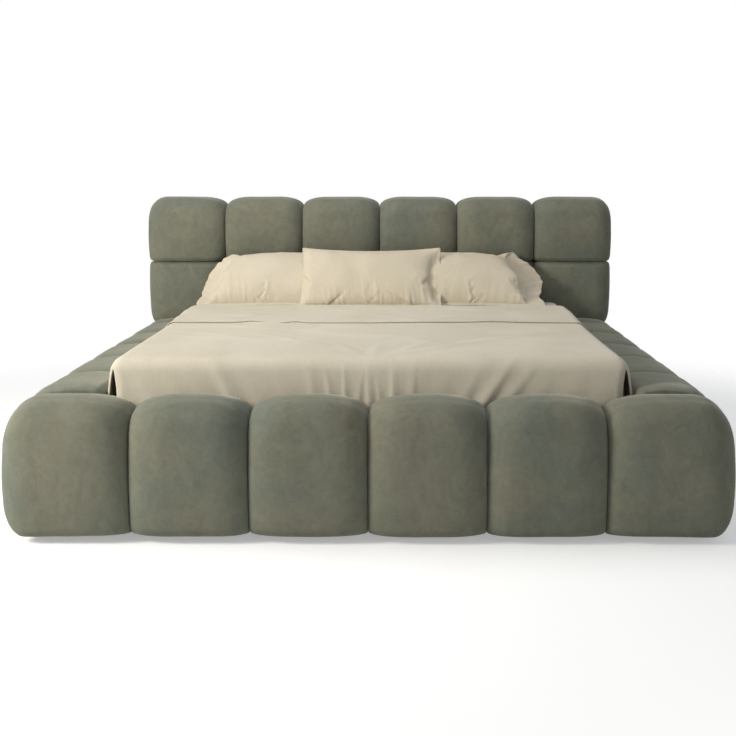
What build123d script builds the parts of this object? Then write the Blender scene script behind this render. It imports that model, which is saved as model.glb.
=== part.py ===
from build123d import *
import math
import os

os.makedirs("parts", exist_ok=True)

# X runs across the bed, Y from the foot to the head, Z up; the origin is on the floor under the middle

# Mattress
mattress_width = 1800
mattress_length = 2000
mattress_thick = 220
mattress_low = 365
mattress_corner = 60
mattress_edge = 25

# Room left around the mattress
side_gap = 30
foot_gap = 40
head_gap = 40

# Stuffed blocks
columns = 6
block_pitch = 397
foot_pitch = 400
rail_blocks = 6
footboard_deep = 250
footboard_top = 488
footboard_proud = 6
rail_deep = 293
rail_top = 500
head_deep = 205
head_narrower = 30
head_low = 462
head_split = 784
head_top = 1112
block_low = 24
seam_slit = 1

# Boards of the frame
board = 30
board_low = 25
rail_board_top = 425
foot_board_top = 420
panel_thick = 40
panel_top = 1045
panel_inset = 40
cover_thick = 5
cover_inset = 25
cover_rise = 8
cover_low = 40

# Storage well
floor_thick = 10
batten_wide = 30
batten_high = 25
beam_wide = 60
floor_slit = 2

# Lifting platform
tube_wide = 40
tube_high = 30
tube_wall = 2
frame_inset = 13
frame_head_inset = 10
cross_tube = 30
cross_bays = 3
slat_count = 13
slat_wide = 53
slat_thick = 8
slat_rise = 10.2
slat_margin = 50
cap_long = 35
cap_wide = 59
cap_high = 14
cap_floor = 1.5
cap_grip = 30
cap_play = 0.3
cap_lift = 2.5
cap_inset = 7
seat_gap = 0.3

# Lift hinge
hinge_from_head = 300
hinge_high = 465
lift_plate = 5
pivot_plate = 5
plate_wide = 120
plate_crown = 50
plate_rise = 22
pivot_wide = 90
pivot_drop = 150
stud_r = 8
running_play = 0.05
washer_r = 13
nut_r = 12
nut_thick = 7
side_play = 0.3
hex_sides = 6

# Gas struts
strut_inset = 19
strut_lean = 14.4
cylinder_r = 11
cylinder_bore = 9.6
cylinder_from = 22
cylinder_to = 305
cylinder_wall = 12
cylinder_guide = 20
rod_r = 5
rod_play = 0.15
rod_long = 370
piston_r = 9.3
piston_long = 15
eye_r = 10
eye_wide = 12
eye_neck = 5
pin_r = 4
pin_head_r = 7
pin_head = 4
clevis_ear = 4
clevis_gap = 16
clevis_base = 5
clevis_long = 60
clevis_eye_r = 12
clevis_pin_high = 55
pin_end = 2

# Fasteners and glides
bracket_high = 140
bracket_low = 90
bracket_leg = 60
bracket_thick = 3
bolt_r = 4
bolt_head_r = 7
bolt_head = 5
bolt_long = 28
bolt_inset = 22
screw_r = 3
screw_head_r = 6
screw_head = 3
screw_long = 22
screw_inset = 14
hole_play = 0.3
glide_r = 14
glide_inset = 60

# Mattress stops and pull strap
stop_r = 5
stop_wide = 200
stop_from_middle = 450
stop_rise = 62
stop_bend = 20
strap_wide = 40
strap_thick = 2.5
strap_bulge = 8
strap_lift = 12
strap_high = 90

# Quilt
quilt_thick = 5
quilt_drop = 150
quilt_fold_from_head = 390
quilt_turned = 595
quilt_flute_wide = 80
quilt_flute_deep = 10
quilt_flute_fade = 60
quilt_flute_shares = (-0.72, -0.5, -0.14, -0.02, 0.1, 0.42, 0.68)
flute_head_wide_share = 0.35
flute_head_deep_share = 0.12

# Pillows
pillow_long = 850
pillow_high = 380
pillow_thick = 125
pillow_lean = 41
pillow_apart = 10
pillow_shift = -15
small_long = 685
small_high = 345
small_thick = 95
small_lean = 54
small_ahead = 121
small_shift = -36
pillow_rim = 6
pillow_waist_share = 0.07
pillow_end_shares = (1, 0.93, 0.78, 0.45)
pillow_end_power = 3
pillow_crown_power = 0.7
pillow_gap = 5

# Shape of the stuffed blocks: how far each face is drawn in at a seam and at a free end
front_bulge = 10
top_bulge = 6
foot_seam_draw = (50, 12, 10, 48)
rail_seam_draw = (14, 12, 8, 10)
head_seam_draw = (48, 5, 10, 44)
head_low_seam_draw = (48, 5, 8, 12)
free_draw = (90, 40, 50, 85)
head_free_draw = (70, 10, 12, 66)
head_low_free_draw = (70, 10, 40, 12)
foot_radii = (50, 10, 60, 95)
rail_radii = (60, 8, 45, 110)
head_radii = (45, 8, 25, 95)
head_low_radii = (50, 8, 8, 45)
seam_power = 4.5
free_power = 5.5
end_shares = (1, 0.9, 0.72, 0.42)

overrun = 20

# Places along the bed, from the foot
bed_length = (
    footboard_deep + foot_gap + mattress_length + head_gap + head_deep + panel_thick + cover_thick
)
foot_face = -bed_length / 2
foot_inner = foot_face + footboard_deep
mattress_foot = foot_inner + foot_gap
mattress_head = mattress_foot + mattress_length
head_front = mattress_head + head_gap
panel_front = head_front + head_deep
panel_back = panel_front + panel_thick
foot_board_face = foot_inner - board

# Places across the bed, from the middle
mattress_side = mattress_width / 2
rail_inner = mattress_side + side_gap
rail_middle = rail_inner + board / 2
rail_back = rail_inner + board
bed_side = rail_inner + rail_deep
head_side = bed_side - head_narrower
panel_side = head_side - panel_inset
rail_pitch = (panel_back - foot_inner) / rail_blocks

# Heights
mattress_top = mattress_low + mattress_thick
batten_top = board_low + batten_high
floor_top = batten_top + floor_thick
slat_crown = mattress_low - seat_gap
frame_top = slat_crown - slat_rise - slat_thick - cap_floor
frame_low = frame_top - tube_high
frame_middle = frame_low + tube_high / 2
strap_low = frame_low + strap_lift
strap_top = strap_low + strap_high
quilt_hem = mattress_top - quilt_drop

# Platform frame
frame_side = rail_inner - frame_inset
frame_inner = frame_side - tube_wide
frame_foot = mattress_foot
frame_head = mattress_head - frame_head_inset
centre_half = tube_wide / 2

# Hinge and strut pins: both strut pins are equally far from the hinge
hinge_y = mattress_head - hinge_from_head
floor_pin_high = floor_top + clevis_pin_high
strut_arm = (hinge_high - floor_pin_high) / math.cos(math.radians(strut_lean))
floor_pin_y = hinge_y + strut_arm * math.sin(math.radians(strut_lean))
frame_pin_y = hinge_y - math.sqrt(strut_arm**2 - (hinge_high - frame_middle) ** 2)
strut_long = math.hypot(floor_pin_y - frame_pin_y, frame_middle - floor_pin_high)
strut_dip = math.degrees(math.atan2(frame_middle - floor_pin_high, floor_pin_y - frame_pin_y))
strut_x = frame_inner - strut_inset

nodes = {}


def keep(name, *shapes):
    """Adds a sub-part, made of one or more separate solids."""
    nodes[name] = [solid for shape in shapes for solid in shape.solids()]


def block(low, high):
    """A box from its low corner to its high corner."""
    sizes = [b - a for a, b in zip(low, high)]
    return Pos(*low) * Box(*sizes, align=(Align.MIN, Align.MIN, Align.MIN))


def mirrored(shape):
    return mirror(shape, about=Plane.YZ)


def both_sides(*shapes):
    """Each shape and its mirror image on the left side."""
    return [side for shape in shapes for side in (shape, mirrored(shape))]


def rod(start, direction, radius, length):
    """A round bar from a point along a direction."""
    place = Plane(origin=start, z_dir=direction).location
    return place * Cylinder(radius, length, align=(Align.CENTER, Align.CENTER, Align.MIN))


def tube_box(low, high, open_axis):
    """A square tube with its bore open along one axis."""
    inner_low = [a + tube_wall for a in low]
    inner_high = [b - tube_wall for b in high]
    inner_low[open_axis] = low[open_axis] - overrun
    inner_high[open_axis] = high[open_axis] + overrun
    return block(low, high) - block(inner_low, inner_high)


# Outlines


def outline(place, corners, radii, bulges):
    """A closed wire with rounded corners, whose sides are straight or bulge outwards as arcs."""
    points = [Vector(*corner) for corner in corners]
    count = len(points)
    centre = sum(points, Vector()) / count
    starts, middles, ends = [], [], []
    for n, (corner, radius) in enumerate(zip(points, radii)):
        before = (points[n - 1] - corner).normalized()
        after = (points[(n + 1) % count] - corner).normalized()
        reach = radius * (1 - math.sqrt(0.5))
        starts.append(corner + before * radius)
        middles.append(corner + (before + after) * reach)
        ends.append(corner + after * radius)
    edges = []
    for n, bulge in enumerate(bulges):
        corner_arc = [place(p.X, p.Y) for p in (starts[n], middles[n], ends[n])]
        edges.append(Edge.make_three_point_arc(*corner_arc))
        side_start, side_end = ends[n], starts[(n + 1) % count]
        side_middle = (side_start + side_end) / 2
        along = (side_end - side_start).normalized()
        outward = Vector(along.Y, -along.X)
        if outward.dot(side_middle - centre) < 0:
            outward = -outward
        first, last = place(side_start.X, side_start.Y), place(side_end.X, side_end.Y)
        if bulge:
            top = side_middle + outward * bulge
            edges.append(Edge.make_three_point_arc(first, place(top.X, top.Y), last))
        else:
            edges.append(Edge.make_line(first, last))
    return Wire(edges)


def lofted(wires):
    """A smooth solid through closed wires."""
    return Solid.make_loft(wires)


# Stuffed blocks


def stuffed(place, run, deep, low, high, radii, ends):
    """A stuffed block along a run, with its faces drawn in towards each end.

    Place turns run, depth and height into a point. Radii are front bottom, back bottom, back top and
    front top. Each end is how far front, back, bottom and top are drawn in there, and how suddenly.
    """
    start, stop = run
    middle, half = (start + stop) / 2, (stop - start) / 2
    stations = [(-share, ends[0]) for share in end_shares]
    stations += [(0, ends[0])]
    stations += [(share, ends[1]) for share in reversed(end_shares)]
    wires = []
    for share, (draws, power) in stations:
        front, back, bottom, top = [draw * abs(share) ** power for draw in draws]
        near, far = front + front_bulge, deep - back
        floor, crown = low + bottom, high - top - top_bulge
        corners = [(near, floor), (far, floor), (far, crown), (near, crown)]
        scale = (far - near) / (deep - front_bulge)
        wires.append(
            outline(
                lambda a, b: place(middle + share * half, a, b),
                corners,
                [radius * scale for radius in radii],
                (0, 0, top_bulge, front_bulge),
            )
        )
    return lofted(wires)


def row_of_blocks(place, pitch, outer_end, deep, low, high, radii, seam, free):
    """The right half of a row across the bed, from the middle out; the last block has a free end."""
    half = columns // 2
    shapes = []
    for n in range(half):
        run = (n * pitch + seam_slit / 2, (n + 1) * pitch - seam_slit / 2)
        last = n == half - 1
        if last:
            run = (run[0], outer_end)
        outer = (free, free_power) if last else (seam, seam_power)
        shapes.append(stuffed(place, run, deep, low, high, radii, ((seam, seam_power), outer)))
    return shapes


def keep_row(name, shapes):
    """Keeps a row of blocks and its mirror image, numbered from left to right."""
    count = 2 * len(shapes)
    for n, shape in enumerate(shapes):
        keep(f"{name}_{count // 2 + 1 + n}", shape)
        keep(f"{name}_{count // 2 - n}", mirrored(shape))


def footboard_blocks():
    shapes = row_of_blocks(
        lambda s, a, b: Vector(s, foot_face + a, b),
        foot_pitch,
        bed_side + footboard_proud,
        footboard_deep,
        block_low,
        footboard_top,
        foot_radii,
        foot_seam_draw,
        free_draw,
    )
    room = block(
        (-rail_back, foot_board_face, -overrun), (rail_back, foot_inner + overrun, foot_board_top)
    )
    keep_row("footboard_cushion", [shape - room for shape in shapes])


def headboard_blocks():
    deep = head_deep + panel_thick - seat_gap
    room = block((-panel_side, panel_front, -overrun), (panel_side, panel_back + overrun, panel_top))
    rows = {
        "headboard_upper": (head_split, head_top, head_radii, head_seam_draw, head_free_draw),
        "headboard_lower": (
            head_low,
            head_split - seam_slit,
            head_low_radii,
            head_low_seam_draw,
            head_low_free_draw,
        ),
    }
    for name, (low, high, radii, seam, free) in rows.items():
        shapes = row_of_blocks(
            lambda s, a, b: Vector(s, head_front + a, b),
            block_pitch,
            head_side,
            deep,
            low,
            high,
            radii,
            seam,
            free,
        )
        keep_row(name, [shape - room for shape in shapes])


def rail_cushions():
    """The blocks down the right side; under the headboard they are lower and narrower."""
    board_room = block(
        (rail_inner - overrun, foot_inner - overrun, -overrun),
        (rail_back, panel_back + overrun, rail_board_top),
    )
    panel_room = block(
        (rail_inner - overrun, panel_front, -overrun), (panel_side, panel_back + overrun, panel_top)
    )
    under_y = head_front - seat_gap
    over_room = block(
        (rail_inner - overrun, under_y, head_low - seat_gap),
        (bed_side + overrun, panel_back + overrun, rail_top + overrun),
    )
    side_room = block(
        (head_side, under_y, -overrun), (bed_side + overrun, panel_back + overrun, rail_top + overrun)
    )
    seam = (rail_seam_draw, seam_power)
    for n in range(rail_blocks):
        start = foot_inner + n * rail_pitch + seam_slit / 2
        stop = foot_inner + (n + 1) * rail_pitch - seam_slit / 2
        shape = stuffed(
            lambda s, a, b: Vector(bed_side - a, s, b),
            (start, stop),
            rail_deep - seat_gap,
            block_low,
            rail_top,
            rail_radii,
            (seam, seam),
        )
        shape = shape - board_room - panel_room - over_room - side_room
        keep(f"rail_cushion_right_{n + 1}", shape)
        keep(f"rail_cushion_left_{n + 1}", mirrored(shape))


# Fasteners


def placed(shape, origin, direction):
    return Plane(origin=origin, z_dir=direction).location * shape


def hex_bolt():
    head = extrude(RegularPolygon(bolt_head_r, hex_sides), amount=-bolt_head)
    return head + Cylinder(bolt_r, bolt_long, align=(Align.CENTER, Align.CENTER, Align.MIN))


def flat_screw():
    head = Cylinder(screw_head_r, screw_head, align=(Align.CENTER, Align.CENTER, Align.MIN))
    return head + Cylinder(screw_r, screw_long, align=(Align.CENTER, Align.CENTER, Align.MIN))


def bolt_hole():
    length = bolt_long + hole_play
    hole = Cylinder(bolt_r + hole_play, length, align=(Align.CENTER, Align.CENTER, Align.MIN))
    return hole + Cylinder(bolt_r + hole_play, overrun, align=(Align.CENTER, Align.CENTER, Align.MAX))


def screw_hole():
    head = Cylinder(
        screw_head_r + hole_play, screw_head + hole_play, align=(Align.CENTER, Align.CENTER, Align.MIN)
    )
    length = screw_long + hole_play
    return head + Cylinder(screw_r + hole_play, length, align=(Align.CENTER, Align.CENTER, Align.MIN))


def bracket_bolt_places():
    """Seats of the right side's corner bolts, on the brackets' inner faces, and their directions."""
    heights = (bracket_low + bolt_inset, bracket_low + bracket_high - bolt_inset)
    side_x = rail_inner - bracket_thick
    reach = bracket_leg - bolt_inset
    places = []
    for z in heights:
        places.append(((side_x, foot_inner + reach, z), (1, 0, 0)))
        places.append(((side_x, panel_front - reach, z), (1, 0, 0)))
        places.append(((rail_inner - reach, foot_inner + bracket_thick, z), (0, -1, 0)))
        places.append(((rail_inner - reach, panel_front - bracket_thick, z), (0, 1, 0)))
    return places


def pivot_screw_places():
    side_x = rail_inner - pivot_plate
    heights = (rail_board_top - screw_inset, hinge_high - pivot_drop + screw_inset)
    reach = pivot_wide / 2 - screw_inset
    return [
        ((side_x, hinge_y + side * reach, z), (1, 0, 0)) for side in (-1, 1) for z in heights
    ]


def clevis_screw_places():
    reach = clevis_long / 2 - screw_inset / 2
    return [
        ((strut_x, floor_pin_y + side * reach, floor_top + clevis_base), (0, 0, -1))
        for side in (-1, 1)
    ]


bolt_holes = [placed(bolt_hole(), *place) for place in bracket_bolt_places()]
pivot_holes = [placed(screw_hole(), *place) for place in pivot_screw_places()]
clevis_holes = [placed(screw_hole(), *place) for place in clevis_screw_places()]


def fasteners():
    keep("corner_bolts", *both_sides(*[placed(hex_bolt(), *p) for p in bracket_bolt_places()]))
    screws = [placed(flat_screw(), *p) for p in pivot_screw_places() + clevis_screw_places()]
    keep("flat_screws", *both_sides(*screws))


# Boards


def boards():
    rail = block((rail_inner, foot_inner, board_low), (rail_back, panel_front, rail_board_top))
    for hole in bolt_holes + pivot_holes:
        rail -= hole
    keep("side_rail_right", rail)
    keep("side_rail_left", mirrored(rail))
    foot = block((-rail_back, foot_board_face, board_low), (rail_back, foot_inner, foot_board_top))
    panel = block((-panel_side, panel_front, board_low), (panel_side, panel_back, panel_top))
    for hole in both_sides(*bolt_holes):
        foot -= hole
        panel -= hole
    keep("footboard_panel", foot)
    keep("headboard_panel", panel)
    cover_side = head_side - cover_inset
    cover_top = panel_top + cover_rise
    back = panel_back + cover_thick
    cover = block((-cover_side, panel_back, cover_low), (cover_side, back, cover_top))
    keep("headboard_back_cover", cover)


def corner_bracket(corner_y, inward):
    """An angle in the right corner at corner_y; inward is the way along Y into the well."""
    side_x = rail_inner - bracket_thick
    top = bracket_low + bracket_high
    end_y = corner_y + inward * bracket_leg
    leg = block((side_x, min(corner_y, end_y), bracket_low), (rail_inner, max(corner_y, end_y), top))
    face_y = corner_y + inward * bracket_thick
    other = block(
        (rail_inner - bracket_leg, min(corner_y, face_y), bracket_low),
        (rail_inner, max(corner_y, face_y), top),
    )
    shape = leg + other
    for hole in bolt_holes:
        shape -= hole
    return shape


def storage_floor():
    beam_half = beam_wide / 2
    beam = block((-beam_half, foot_inner, board_low), (beam_half, panel_front, batten_top))
    keep("centre_beam", beam)
    side = block(
        (rail_inner - batten_wide, foot_inner, board_low), (rail_inner, panel_front, batten_top)
    )
    inner = rail_inner - batten_wide
    foot_end = block(
        (beam_half, foot_inner, board_low), (inner, foot_inner + batten_wide, batten_top)
    )
    head_end = block(
        (beam_half, panel_front - batten_wide, board_low), (inner, panel_front, batten_top)
    )
    pad_half = clevis_long / 2
    pad = block(
        (strut_x - batten_wide, floor_pin_y - pad_half, board_low),
        (inner, floor_pin_y + pad_half, batten_top),
    )
    panel = block(
        (floor_slit / 2, foot_inner + floor_slit / 2, batten_top),
        (rail_inner - floor_slit / 2, panel_front - floor_slit / 2, floor_top),
    )
    for hole in clevis_holes:
        pad -= hole
        panel -= hole
    keep("floor_battens", *both_sides(side, foot_end, head_end, pad))
    keep("storage_floor_right", panel)
    keep("storage_floor_left", mirrored(panel))


def feet():
    """Glides under the boards, the panel and the centre beam."""
    glide = Cylinder(glide_r, board_low, align=(Align.CENTER, Align.CENTER, Align.MIN))
    ends = (foot_inner + glide_inset, panel_front - glide_inset)
    middle_y = (foot_inner + panel_front) / 2
    sides = [(rail_middle, y) for y in (ends[0], middle_y, ends[1])]
    sides.append((rail_inner / 2, foot_inner - board / 2))
    sides.append((panel_side - glide_inset, panel_front + panel_thick / 2))
    middles = [(0, y) for y in (ends[0], middle_y, ends[1])]
    shapes = both_sides(*[Pos(x, y, 0) * glide for x, y in sides])
    shapes += [Pos(x, y, 0) * glide for x, y in middles]
    keep("feet", *shapes)


# Lifting platform


def lift_frame():
    low, top = frame_low, frame_top
    side = tube_box((frame_inner, frame_foot, low), (frame_side, frame_head, top), 1)
    centre = tube_box(
        (-centre_half, frame_foot + cross_tube, low), (centre_half, frame_head - cross_tube, top), 1
    )
    span = (frame_head - frame_foot - cross_tube) / cross_bays
    foot = tube_box((-frame_inner, frame_foot, low), (frame_inner, frame_foot + cross_tube, top), 0)
    head = tube_box((-frame_inner, frame_head - cross_tube, low), (frame_inner, frame_head, top), 0)
    crosses = []
    for n in range(1, cross_bays):
        start = frame_foot + n * span
        crosses.append(
            tube_box((centre_half, start, low), (frame_inner, start + cross_tube, top), 0)
        )
    stud = rod((frame_inner, frame_pin_y, frame_middle), (-1, 0, 0), pin_r, stud_reach())
    shoulder_long = strut_inset - eye_wide / 2 - side_play
    stud += rod((frame_inner, frame_pin_y, frame_middle), (-1, 0, 0), pin_head_r, shoulder_long)
    head_x = strut_x - eye_wide / 2 - side_play
    stud += rod((head_x, frame_pin_y, frame_middle), (-1, 0, 0), pin_head_r, pin_head)
    keep("lift_frame", foot, head, centre, *both_sides(side, lift_plate_shape(), stud, *crosses))


def stud_reach():
    return strut_inset + eye_wide / 2 + side_play + pin_head


def yz_plate(corners, radii, start_x, thick):
    """A plate with rounded corners, from its inner face outwards along X."""
    wire = outline(lambda a, b: Vector(start_x, a, b), corners, radii, (0,) * len(corners))
    return Solid.extrude(Face(wire), Vector(thick, 0, 0))


def lift_plate_shape():
    half, crown = plate_wide / 2, plate_crown / 2
    top = hinge_high + plate_rise
    corners = [
        (hinge_y - half, frame_low),
        (hinge_y + half, frame_low),
        (hinge_y + crown, top),
        (hinge_y - crown, top),
    ]
    radii = (lift_plate, lift_plate, crown / 2, crown / 2)
    plate = yz_plate(corners, radii, frame_side, lift_plate)
    hole = rod((frame_side - overrun, hinge_y, hinge_high), (1, 0, 0), stud_r + running_play, 2 * overrun)
    return plate - hole


def hinge_plates():
    """The plate on the side rail with its stud and shoulder, and the nut on the stud."""
    half = pivot_wide / 2
    top, low = hinge_high + plate_rise, hinge_high - pivot_drop
    face = rail_inner - pivot_plate
    corners = [
        (hinge_y - half, low),
        (hinge_y + half, low),
        (hinge_y + half, top),
        (hinge_y - half, top),
    ]
    radii = (screw_head_r, screw_head_r, plate_rise / 2, plate_rise / 2)
    plate = yz_plate(corners, radii, face, pivot_plate)
    for hole in pivot_holes:
        plate -= hole
    centre = (face, hinge_y, hinge_high)
    shoulder = face - frame_side - lift_plate - side_play
    nut_face = frame_side - side_play
    reach = face - nut_face + nut_thick
    plate += rod(centre, (-1, 0, 0), stud_r, reach)
    plate += rod(centre, (-1, 0, 0), washer_r, shoulder)
    nut = extrude(RegularPolygon(nut_r, hex_sides), amount=nut_thick)
    nut = placed(nut, (nut_face, hinge_y, hinge_high), (-1, 0, 0))
    nut -= rod((nut_face + overrun, hinge_y, hinge_high), (-1, 0, 0), stud_r + hole_play, 2 * overrun)
    keep("pivot_plate_right", plate, nut)
    keep("pivot_plate_left", mirrored(plate), mirrored(nut))


def slats():
    """Two columns of sprung slats, arched up between their end caps."""
    inner = cap_lift + cap_long - cap_grip
    outer = frame_side - cap_inset - (cap_long - cap_grip)
    low = frame_top + cap_floor
    middle = (inner + outer) / 2
    crown = slat_crown - slat_thick
    first, last = frame_foot + slat_margin, frame_head - slat_margin
    pitch = (last - first) / (slat_count - 1)
    boards_made, caps = [], []
    for n in range(slat_count):
        y = first + n * pitch - slat_wide / 2
        under = [Vector(x, y, z) for x, z in ((inner, low), (middle, crown), (outer, low))]
        over = [point + Vector(0, 0, slat_thick) for point in reversed(under)]
        edges = [
            Edge.make_three_point_arc(*under),
            Edge.make_line(under[2], over[0]),
            Edge.make_three_point_arc(*over),
            Edge.make_line(over[2], under[0]),
        ]
        slat = Solid.extrude(Face(Wire(edges)), Vector(0, slat_wide, 0))
        boards_made += both_sides(slat)
        cap_y = y + slat_wide / 2 - cap_wide / 2
        slot_y = y - cap_play
        slot_top = frame_top + cap_high - cap_floor
        for start, slot_start, slot_end in (
            (cap_lift, inner - cap_play, inner + cap_grip + overrun),
            (frame_side - cap_inset - cap_long, outer - cap_grip - overrun, outer + cap_play),
        ):
            end = (start + cap_long, cap_y + cap_wide, frame_top + cap_high)
            cap = block((start, cap_y, frame_top), end)
            slot = block(
                (slot_start, slot_y, frame_top + cap_floor),
                (slot_end, slot_y + slat_wide + 2 * cap_play, slot_top),
            )
            caps += both_sides(cap - slot)
    keep("slats", *boards_made)
    keep("slat_caps", *caps)


def mattress_stops():
    """Two hoops on the frame's foot tube that keep the mattress from sliding off when tilted."""
    y = frame_foot - stop_r - seat_gap
    half = stop_wide / 2 - stop_r
    low, top = frame_low, frame_top + stop_rise
    centre = stop_from_middle
    path = FilletPolyline(
        (centre - half, y, low),
        (centre - half, y, top),
        (centre + half, y, top),
        (centre + half, y, low),
        radius=stop_bend,
    )
    ring = Plane(origin=(centre - half, y, low), z_dir=(0, 0, 1)) * Circle(stop_r)
    hoop = sweep(ring, path=path)
    keep("mattress_stops", *both_sides(hoop))


def lift_strap():
    """A flat webbing loop on the frame's foot tube."""
    back = frame_foot - seat_gap
    front = back - 2 * strap_bulge
    outer_r = strap_bulge - seat_gap
    corners = [(front, strap_low), (back, strap_low), (back, strap_top), (front, strap_top)]
    inner = [
        (front + strap_thick, strap_low + strap_thick),
        (back - strap_thick, strap_low + strap_thick),
        (back - strap_thick, strap_top - strap_thick),
        (front + strap_thick, strap_top - strap_thick),
    ]
    start = -strap_wide / 2
    loop = yz_plate(corners, (outer_r,) * 4, start, strap_wide)
    hole = yz_plate(inner, (outer_r - strap_thick,) * 4, start - overrun, strap_wide + 2 * overrun)
    keep("lift_strap", loop - hole)


# Gas struts


def along_strut(shape):
    """Turns a shape made along +Z from the frame pin into its place on the right side."""
    return Pos(strut_x, frame_pin_y, frame_middle) * Rot(-90 - strut_dip, 0, 0) * shape


def bar(radius, start, stop):
    """A round bar along the strut between two distances from the frame pin."""
    return Pos(0, 0, start) * Cylinder(
        radius, stop - start, align=(Align.CENTER, Align.CENTER, Align.MIN)
    )


def eye(distance):
    ring = Pos(0, 0, distance) * Rot(0, 90, 0) * Cylinder(eye_r, eye_wide)
    hole = Pos(0, 0, distance) * Rot(0, 90, 0) * Cylinder(pin_r + rod_play, 2 * eye_wide)
    return ring, hole


def struts():
    ring, hole = eye(0)
    cylinder = ring + bar(eye_neck, 0, cylinder_from) + bar(cylinder_r, cylinder_from, cylinder_to) - hole
    cylinder -= bar(cylinder_bore, cylinder_from + cylinder_wall, cylinder_to - cylinder_guide)
    cylinder -= bar(rod_r + rod_play, cylinder_from + cylinder_wall, cylinder_to + overrun)
    ring, hole = eye(strut_long)
    rod_start = strut_long - rod_long
    strut_rod = ring + bar(rod_r, rod_start, strut_long) - hole
    strut_rod += bar(piston_r, rod_start, rod_start + piston_long)
    for name, shape in (("strut_cylinder", cylinder), ("strut_rod", strut_rod)):
        shape = along_strut(shape)
        keep(f"{name}_right", shape)
        keep(f"{name}_left", mirrored(shape))


def strut_foot_brackets():
    """A clevis for the rod's eye, with its pin, screwed through the floor."""
    half, gap = clevis_long / 2, clevis_gap / 2
    width = gap + clevis_ear
    base = block(
        (strut_x - width, floor_pin_y - half, floor_top),
        (strut_x + width, floor_pin_y + half, floor_top + clevis_base),
    )
    for hole in clevis_holes:
        base -= hole
    shape = base
    for start in (strut_x - width, strut_x + gap):
        ear = rod((start, floor_pin_y, floor_pin_high), (1, 0, 0), clevis_eye_r, clevis_ear)
        ear += block(
            (start, floor_pin_y - clevis_eye_r, floor_top),
            (start + clevis_ear, floor_pin_y + clevis_eye_r, floor_pin_high),
        )
        shape += ear
    pin_start = strut_x - width - pin_end
    shape += rod((pin_start, floor_pin_y, floor_pin_high), (1, 0, 0), pin_r, 2 * (width + pin_end))
    keep("strut_foot_brackets", *both_sides(shape))


# Bedding


def soft_slab(grow, low, head):
    """The mattress's shape grown all round, from a height up and as far as a place towards the head."""
    side, foot = mattress_side + grow, mattress_foot - grow
    shape = block((-side, foot, low), (side, head, mattress_top + grow))
    upright = shape.edges().filter_by(Axis.Z).group_by(Axis.Y)[0]
    shape = fillet(upright, mattress_corner + grow)
    rim = shape.edges().group_by(Axis.Z)[-1].filter_by(lambda e: e.center().Y < head - overrun)
    return fillet(rim, mattress_edge + grow)


def mattress():
    shape = block(
        (-mattress_side, mattress_foot, mattress_low), (mattress_side, mattress_head, mattress_top)
    )
    shape = fillet(shape.edges().filter_by(Axis.Z), mattress_corner)
    shape = fillet(shape.edges().group_by(Axis.Z)[-1], mattress_edge)
    shape = fillet(shape.edges().group_by(Axis.Z)[0], mattress_edge)
    keep("mattress", shape)


def flute(x, face_y, low, high):
    """A soft upright fold on the foot drop that fades out towards its top."""

    def lens(width, deep, z):
        left, right = Vector(x - width / 2, face_y, z), Vector(x + width / 2, face_y, z)
        crest = Vector(x, face_y - deep, z)
        return Wire([Edge.make_three_point_arc(left, crest, right), Edge.make_line(right, left)])

    head_wide = quilt_flute_wide * flute_head_wide_share
    head_deep_out = quilt_flute_deep * flute_head_deep_share
    return Solid.make_loft(
        [lens(quilt_flute_wide, quilt_flute_deep, low), lens(head_wide, head_deep_out, high)], True
    )


def quilt():
    """One layer over the mattress with its foot and side drops, and the layer turned back on it."""
    fold_y = mattress_head - quilt_fold_from_head
    hem_y = fold_y - quilt_turned
    outer = seat_gap + quilt_thick
    inner_shape = soft_slab(seat_gap, quilt_hem - overrun, mattress_head)
    layer = soft_slab(outer, quilt_hem, fold_y) - inner_shape
    turned = soft_slab(outer + quilt_thick, quilt_hem, fold_y) - soft_slab(
        outer, quilt_hem - overrun, mattress_head
    )
    reach = bed_side + overrun
    turned &= block((-reach, hem_y, quilt_hem), (reach, fold_y + overrun, head_top))
    shape = layer + turned
    face_y = mattress_foot - outer + quilt_thick / 2
    for share in quilt_flute_shares:
        shape += flute(
            share * mattress_side, face_y, quilt_hem, mattress_top - quilt_flute_fade
        )
    keep("duvet", shape)


def pillow(long, high, thick, lean):
    """A flat bag with drawn-in sides and full corners, leaning back by an angle above level."""
    turn = math.radians(lean)
    stations = [-share for share in pillow_end_shares] + [0] + list(reversed(pillow_end_shares))
    wires = []
    for share in stations:
        half_high = high / 2 * (1 - pillow_waist_share * (1 - share**2))
        fullness = (1 - abs(share) ** pillow_end_power) ** pillow_crown_power
        half_thick = pillow_rim + (thick / 2 - pillow_rim) * fullness
        half_rim = pillow_rim / 2

        def point(u, v):
            across = u * math.cos(turn) - v * math.sin(turn)
            up = u * math.sin(turn) + v * math.cos(turn)
            return Vector(share * long / 2, across, up)

        low_back, low_front = point(-half_high, -half_rim), point(-half_high, half_rim)
        top_back, top_front = point(half_high, -half_rim), point(half_high, half_rim)
        wires.append(
            Wire(
                [
                    Edge.make_line(low_back, low_front),
                    Edge.make_three_point_arc(low_front, point(0, half_thick), top_front),
                    Edge.make_line(top_front, top_back),
                    Edge.make_three_point_arc(top_back, point(0, -half_thick), low_back),
                ]
            )
        )
    return lofted(wires)


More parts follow.
